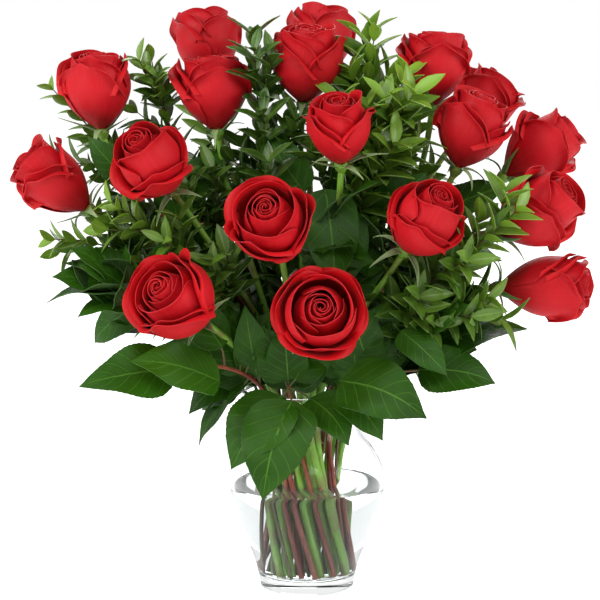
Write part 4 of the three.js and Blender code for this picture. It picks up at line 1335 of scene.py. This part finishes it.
def make_myrtle_spray(number, roses, settings, materials, leaf):
    name = f"Myrtle_{number:02d}"
    node = f"myrtle_{number:02d}"
    green, bark = materials
    tip, leafy, leaf_length, fresh = MYRTLE[number - 1]
    chance = np.random.default_rng(settings.seed * 100 + number)
    line = wood_line(node, np.array(tip) * MM, settings.wood_radius)
    leafy *= LEAFY_STRETCH * MM
    lines = spray_lines(line, leafy, fresh, settings, roses, chance)
    mesh = grown(line_mesh(name, lines), spray_tree(), {
        "Leaf": leaf, "Leaf Length": leaf_length * LEAF_STRETCH * MM,
        "Pair Spacing": settings.pair_spacing, "Splay": LEAF_SPLAY,
        "Seed": settings.seed + number, "Wood": bark, "Leaf Material": green})
    mesh.name = name
    finished(shown(name, smoothed(mesh, SHARP)), node)


# ---------------------------------------------------------------- vase and water

def soft_outline(corners, steps):
    """A smooth line through the corners of an outline."""
    corners = np.array(corners, dtype=float)
    ends = np.vstack([2 * corners[0] - corners[1], corners, 2 * corners[-1] - corners[-2]])
    line = []
    for i in range(1, len(ends) - 2):
        p0, p1, p2, p3 = ends[i - 1:i + 3]
        for t in np.linspace(0, 1, steps, endpoint=False):
            line.append(0.5 * (2 * p1 + (p2 - p0) * t + (2 * p0 - 5 * p1 + 4 * p2 - p3) * t ** 2
                               + (3 * p1 - p0 - 3 * p2 + p3) * t ** 3))
    line.append(corners[-1])
    return [tuple(point) for point in line]


def inside_radius(z, wall):
    radii, heights = zip(*VASE_OUTLINE)
    return float(np.interp(z, heights, radii)) - wall


def wall_line(wall, low, high):
    """The vase's wall between two heights, moved in by a thickness."""
    outside = soft_outline(VASE_OUTLINE[2:], OUTLINE_STEPS)
    return [(radius - wall, z) for radius, z in outside if low < z < high]


def bowl_line(wall, sunk):
    """The inside of the bowl from its wall to the axis, lowered by a part of the overlap."""
    curve = [(inside_radius(VASE_FLOOR + read, wall) - inset, VASE_FLOOR + high - sunk * share)
             for read, inset, high, share in BOWL]
    return curve + [(FLAT_RADIUS, VASE_FLOOR - sunk), (0, VASE_FLOOR - sunk)]


def upright_mesh(name, outline, settings, material):
    """A turned solid on the vase's own axis, from an outline in millimetres."""
    place = {"hip": np.zeros(3), "axis": np.array((0.0, 0.0, 1.0))}
    outline = [(radius * MM, z * MM) for radius, z in outline]
    return turned_mesh(name, outline, place, settings.sides, material)


def make_vase(settings):
    wall = settings.wall / MM
    foot = [(0, 0.9), (22, 0.9), (30, 0.5), (33, 0.05), (36, 0.05), (37.6, 0.9), (38.3, 3.2)]
    lip = VASE_OUTLINE[-1][0]
    rim = [(lip + 0.1, LIP_TOP - 1.2), (lip - 0.9, LIP_TOP - 0.25), (lip - 1.7, LIP_TOP),
           (lip - 2.6, LIP_TOP - 0.35), (lip - wall, LIP_TOP - 1.5)]
    outside = wall_line(0, 0, LIP_TOP)
    inside = wall_line(wall, VASE_FLOOR + BOWL_TOP, LIP_TOP)[::-1]
    outline = foot + outside + rim + inside + bowl_line(wall, 0)
    glass = clear_material("Clear Glass", settings.tint, GLASS_IOR, 0.3)
    finished(shown("Vase", upright_mesh("Vase", outline, settings, glass)), "vase")


def make_water(settings):
    """The water, with a glossier material on its level top than on its sides."""
    sides, surface = (clear_material(name, settings.water_tint, WATER_IOR, gloss)
                      for name, gloss in (("Clear Water", 0.1), ("Water Surface", 1.0)))
    wall = settings.wall / MM - WATER_OVERLAP
    edge = inside_radius(WATER_TOP, wall)
    top = [(edge, WATER_TOP + 0.9), (edge - 1.0, WATER_TOP + 0.25), (edge - 2.4, WATER_TOP),
           (edge * 0.5, WATER_TOP), (0, WATER_TOP)]
    side = wall_line(wall, VASE_FLOOR + BOWL_TOP, WATER_TOP - 1.5)
    outline = bowl_line(wall, WATER_OVERLAP)[::-1] + side + top
    mesh = upright_mesh("Water", outline, settings, sides)
    mesh.materials.append(surface)
    for face in mesh.polygons:
        face.material_index = int(face.center.z > (WATER_TOP - 0.2) * MM)
    finished(shown("Water", mesh), "water")


# ---------------------------------------------------------------- stage

# Lamps: name, place, what it lights, width, and strength in watts.
LAMPS = [
    ("Left Softbox", (-1.5, -0.9, 1.1), (0, 0, 0.25), 1.0, 24),
    ("Right Softbox", (1.6, -0.8, 0.9), (0, 0, 0.25), 1.0, 16),
    ("Front Softbox", (0.2, -2.0, 2.2), (0, 0, 0.25), 1.2, 21),
    ("Back Softbox", (0.3, 1.9, 1.6), (0, 0, 0.3), 1.4, 24),
]


def aim(thing, place, target):
    thing.location = place
    way = Vector(target) - Vector(place)
    thing.rotation_euler = way.to_track_quat("-Z", "Y").to_euler()


def make_stage(settings):
    scene = bpy.context.scene
    half = settings.floor_size / 2
    mesh = bpy.data.meshes.new("Floor")
    corners = [(-half, -half, 0), (half, -half, 0), (half, half, 0), (-half, half, 0)]
    mesh.from_pydata(corners, [], [(0, 1, 2, 3)])
    mesh.materials.append(stage_material())
    shown("Floor", mesh)
    for name, place, target, width, watts in LAMPS:
        light = bpy.data.lights.new(name, "AREA")
        light.size = width
        light.energy = watts
        aim(shown(name, light), place, target)
    world = bpy.data.worlds.new("Studio")
    world.use_nodes = True
    scene.world = world
    tree = world.node_tree
    background = tree.nodes["Background"]
    strength = wire(tree, "ShaderNodeMapRange", {
        "Value": seen_through(tree, 0.2), "To Min": settings.surround, "To Max": 1.0})
    background.inputs["Color"].default_value = (1, 1, 1, 1)
    tree.links.new(strength.outputs[0], background.inputs["Strength"])
    scene.view_settings.view_transform = "Standard"

    middle = middle_of(np.array(CAD_BOUNDS))
    target = Vector((middle[0], 0, middle[2]))
    rise = settings.camera_rise
    back = Vector((0, -math.cos(rise), math.sin(rise))) * settings.camera_distance
    lens = bpy.data.cameras.new("Camera")
    lens.lens = settings.lens
    lens.sensor_width = 36
    camera = shown("Camera", lens)
    aim(camera, target + back, target)
    scene.camera = camera


# ---------------------------------------------------------------- operators

class BOUQUET_OT_stage(bpy.types.Operator):
    """Makes the floor, the lamps and the camera"""
    bl_idname = "bouquet.stage"
    bl_label = "Stage"

    def execute(self, context):
        make_stage(context.scene.bouquet_stage)
        return {"FINISHED"}


class BOUQUET_OT_vase(bpy.types.Operator):
    """Makes the glass vase"""
    bl_idname = "bouquet.vase"
    bl_label = "Vase"

    def execute(self, context):
        make_vase(context.scene.bouquet_vase)
        return {"FINISHED"}


class BOUQUET_OT_water(bpy.types.Operator):
    """Makes the water in the vase"""
    bl_idname = "bouquet.water"
    bl_label = "Water"

    def execute(self, context):
        make_water(context.scene.bouquet_vase)
        return {"FINISHED"}


class BOUQUET_OT_blooms(bpy.types.Operator):
    """Makes the petals of every rose"""
    bl_idname = "bouquet.blooms"
    bl_label = "Blooms"

    def execute(self, context):
        settings = context.scene.bouquet_blooms
        materials = [petal_material("Petal Face", tuple(settings.face_colour), False),
                     petal_material("Petal Back", tuple(settings.back_colour), True)]
        for number, rose in enumerate(all_roses(), start=1):
            make_bloom(number, rose, settings, materials)
        return {"FINISHED"}


class BOUQUET_OT_rose_stems(bpy.types.Operator):
    """Makes the stem, thorns, hip and sepals of every rose"""
    bl_idname = "bouquet.rose_stems"
    bl_label = "Rose Stems"

    def execute(self, context):
        settings = context.scene.bouquet_stems
        colour = tuple(settings.colour)
        materials = [bark_material("Rose Bark", colour, (0.16, 0.17, 0.03), 0.45),
                     bark_material("Thorn", (0.16, 0.10, 0.03), (0.20, 0.05, 0.03), 0.4),
                     leaf_material("Sepal", (0.10, 0.22, 0.05), (0.3, 0.42, 0.18), 0.5, 1.0, 0.3),
                     leaf_material("Sepal Under", (0.26, 0.36, 0.16), (0.4, 0.5, 0.3), 0.6, 1.0,
                                   0.2)]
        for number, rose in enumerate(all_roses(), start=1):
            make_rose_stem(number, rose, settings, materials)
        return {"FINISHED"}


class BOUQUET_OT_lemon_leaf(bpy.types.Operator):
    """Makes the lemon-leaf branches"""
    bl_idname = "bouquet.lemon_leaf"
    bl_label = "Lemon Leaf"

    def execute(self, context):
        settings = context.scene.bouquet_lemon_leaf
        top = tuple(settings.top_colour)
        under = tuple(settings.under_colour)
        materials = [leaf_material("Lemon Leaf Top", top, (0.09, 0.24, 0.025), 0.38, 6.5, 0.18),
                     leaf_material("Lemon Leaf Under", under, (0.16, 0.28, 0.08), 0.6, 6.5, 0.25),
                     bark_material("Brown Bark", (0.19, 0.030, 0.016), (0.28, 0.070, 0.028), 0.55),
                     bark_material("Leaf Stalk", (0.07, 0.11, 0.02), (0.14, 0.06, 0.03), 0.5)]
        roses = all_roses()
        for number in range(1, len(LEMON_LEAVES) + 1):
            make_lemon_branch(number, roses, settings, materials)
        return {"FINISHED"}


class BOUQUET_OT_myrtle(bpy.types.Operator):
    """Makes the myrtle sprays"""
    bl_idname = "bouquet.myrtle"
    bl_label = "Myrtle"

    def execute(self, context):
        settings = context.scene.bouquet_myrtle
        materials = [
            myrtle_material("Myrtle Leaf", tuple(settings.old_colour),
                            tuple(settings.young_colour)),
            bark_material("Myrtle Twig", (0.09, 0.05, 0.02), (0.08, 0.11, 0.02), 0.55)]
        roses = all_roses()
        leaf = shown("myrtle_leaf_pattern", myrtle_leaf_mesh())
        for number in range(1, len(MYRTLE) + 1):
            make_myrtle_spray(number, roses, settings, materials, leaf)
        bpy.data.objects.remove(leaf)
        return {"FINISHED"}


class BOUQUET_PT_parts(bpy.types.Panel):
    """Lists the pieces of the bouquet"""
    bl_idname = "BOUQUET_PT_parts"
    bl_label = "Roses in a Vase"
    bl_space_type = "VIEW_3D"
    bl_region_type = "UI"
    bl_category = "Bouquet"

    def draw(self, context):
        for operator in OPERATORS:
            self.layout.operator(operator.bl_idname)
        for name in SETTINGS:
            settings = getattr(context.scene, name)
            box = self.layout.box()
            for key in settings.__annotations__:
                box.prop(settings, key)


OPERATORS = [
    BOUQUET_OT_stage, BOUQUET_OT_vase, BOUQUET_OT_water, BOUQUET_OT_blooms,
    BOUQUET_OT_rose_stems, BOUQUET_OT_lemon_leaf, BOUQUET_OT_myrtle,
]
SETTINGS = {
    "bouquet_stage": StageSettings, "bouquet_vase": VaseSettings,
    "bouquet_blooms": BloomSettings, "bouquet_stems": StemSettings,
    "bouquet_lemon_leaf": LemonLeafSettings, "bouquet_myrtle": MyrtleSettings,
}


def register():
    for group in SETTINGS.values():
        bpy.utils.register_class(group)
    for operator in OPERATORS:
        bpy.utils.register_class(operator)
    bpy.utils.register_class(BOUQUET_PT_parts)
    for name, group in SETTINGS.items():
        setattr(bpy.types.Scene, name, bpy.props.PointerProperty(type=group))


def unregister():
    for name in SETTINGS:
        delattr(bpy.types.Scene, name)
    bpy.utils.unregister_class(BOUQUET_PT_parts)
    for operator in reversed(OPERATORS):
        bpy.utils.unregister_class(operator)
    for group in reversed(list(SETTINGS.values())):
        bpy.utils.unregister_class(group)


def main():
    register()
    bpy.ops.bouquet.stage()
    bpy.ops.bouquet.vase()
    bpy.ops.bouquet.water()
    bpy.ops.bouquet.blooms()
    bpy.ops.bouquet.rose_stems()
    bpy.ops.bouquet.lemon_leaf()
    bpy.ops.bouquet.myrtle()


if __name__ == "__main__":
    main()
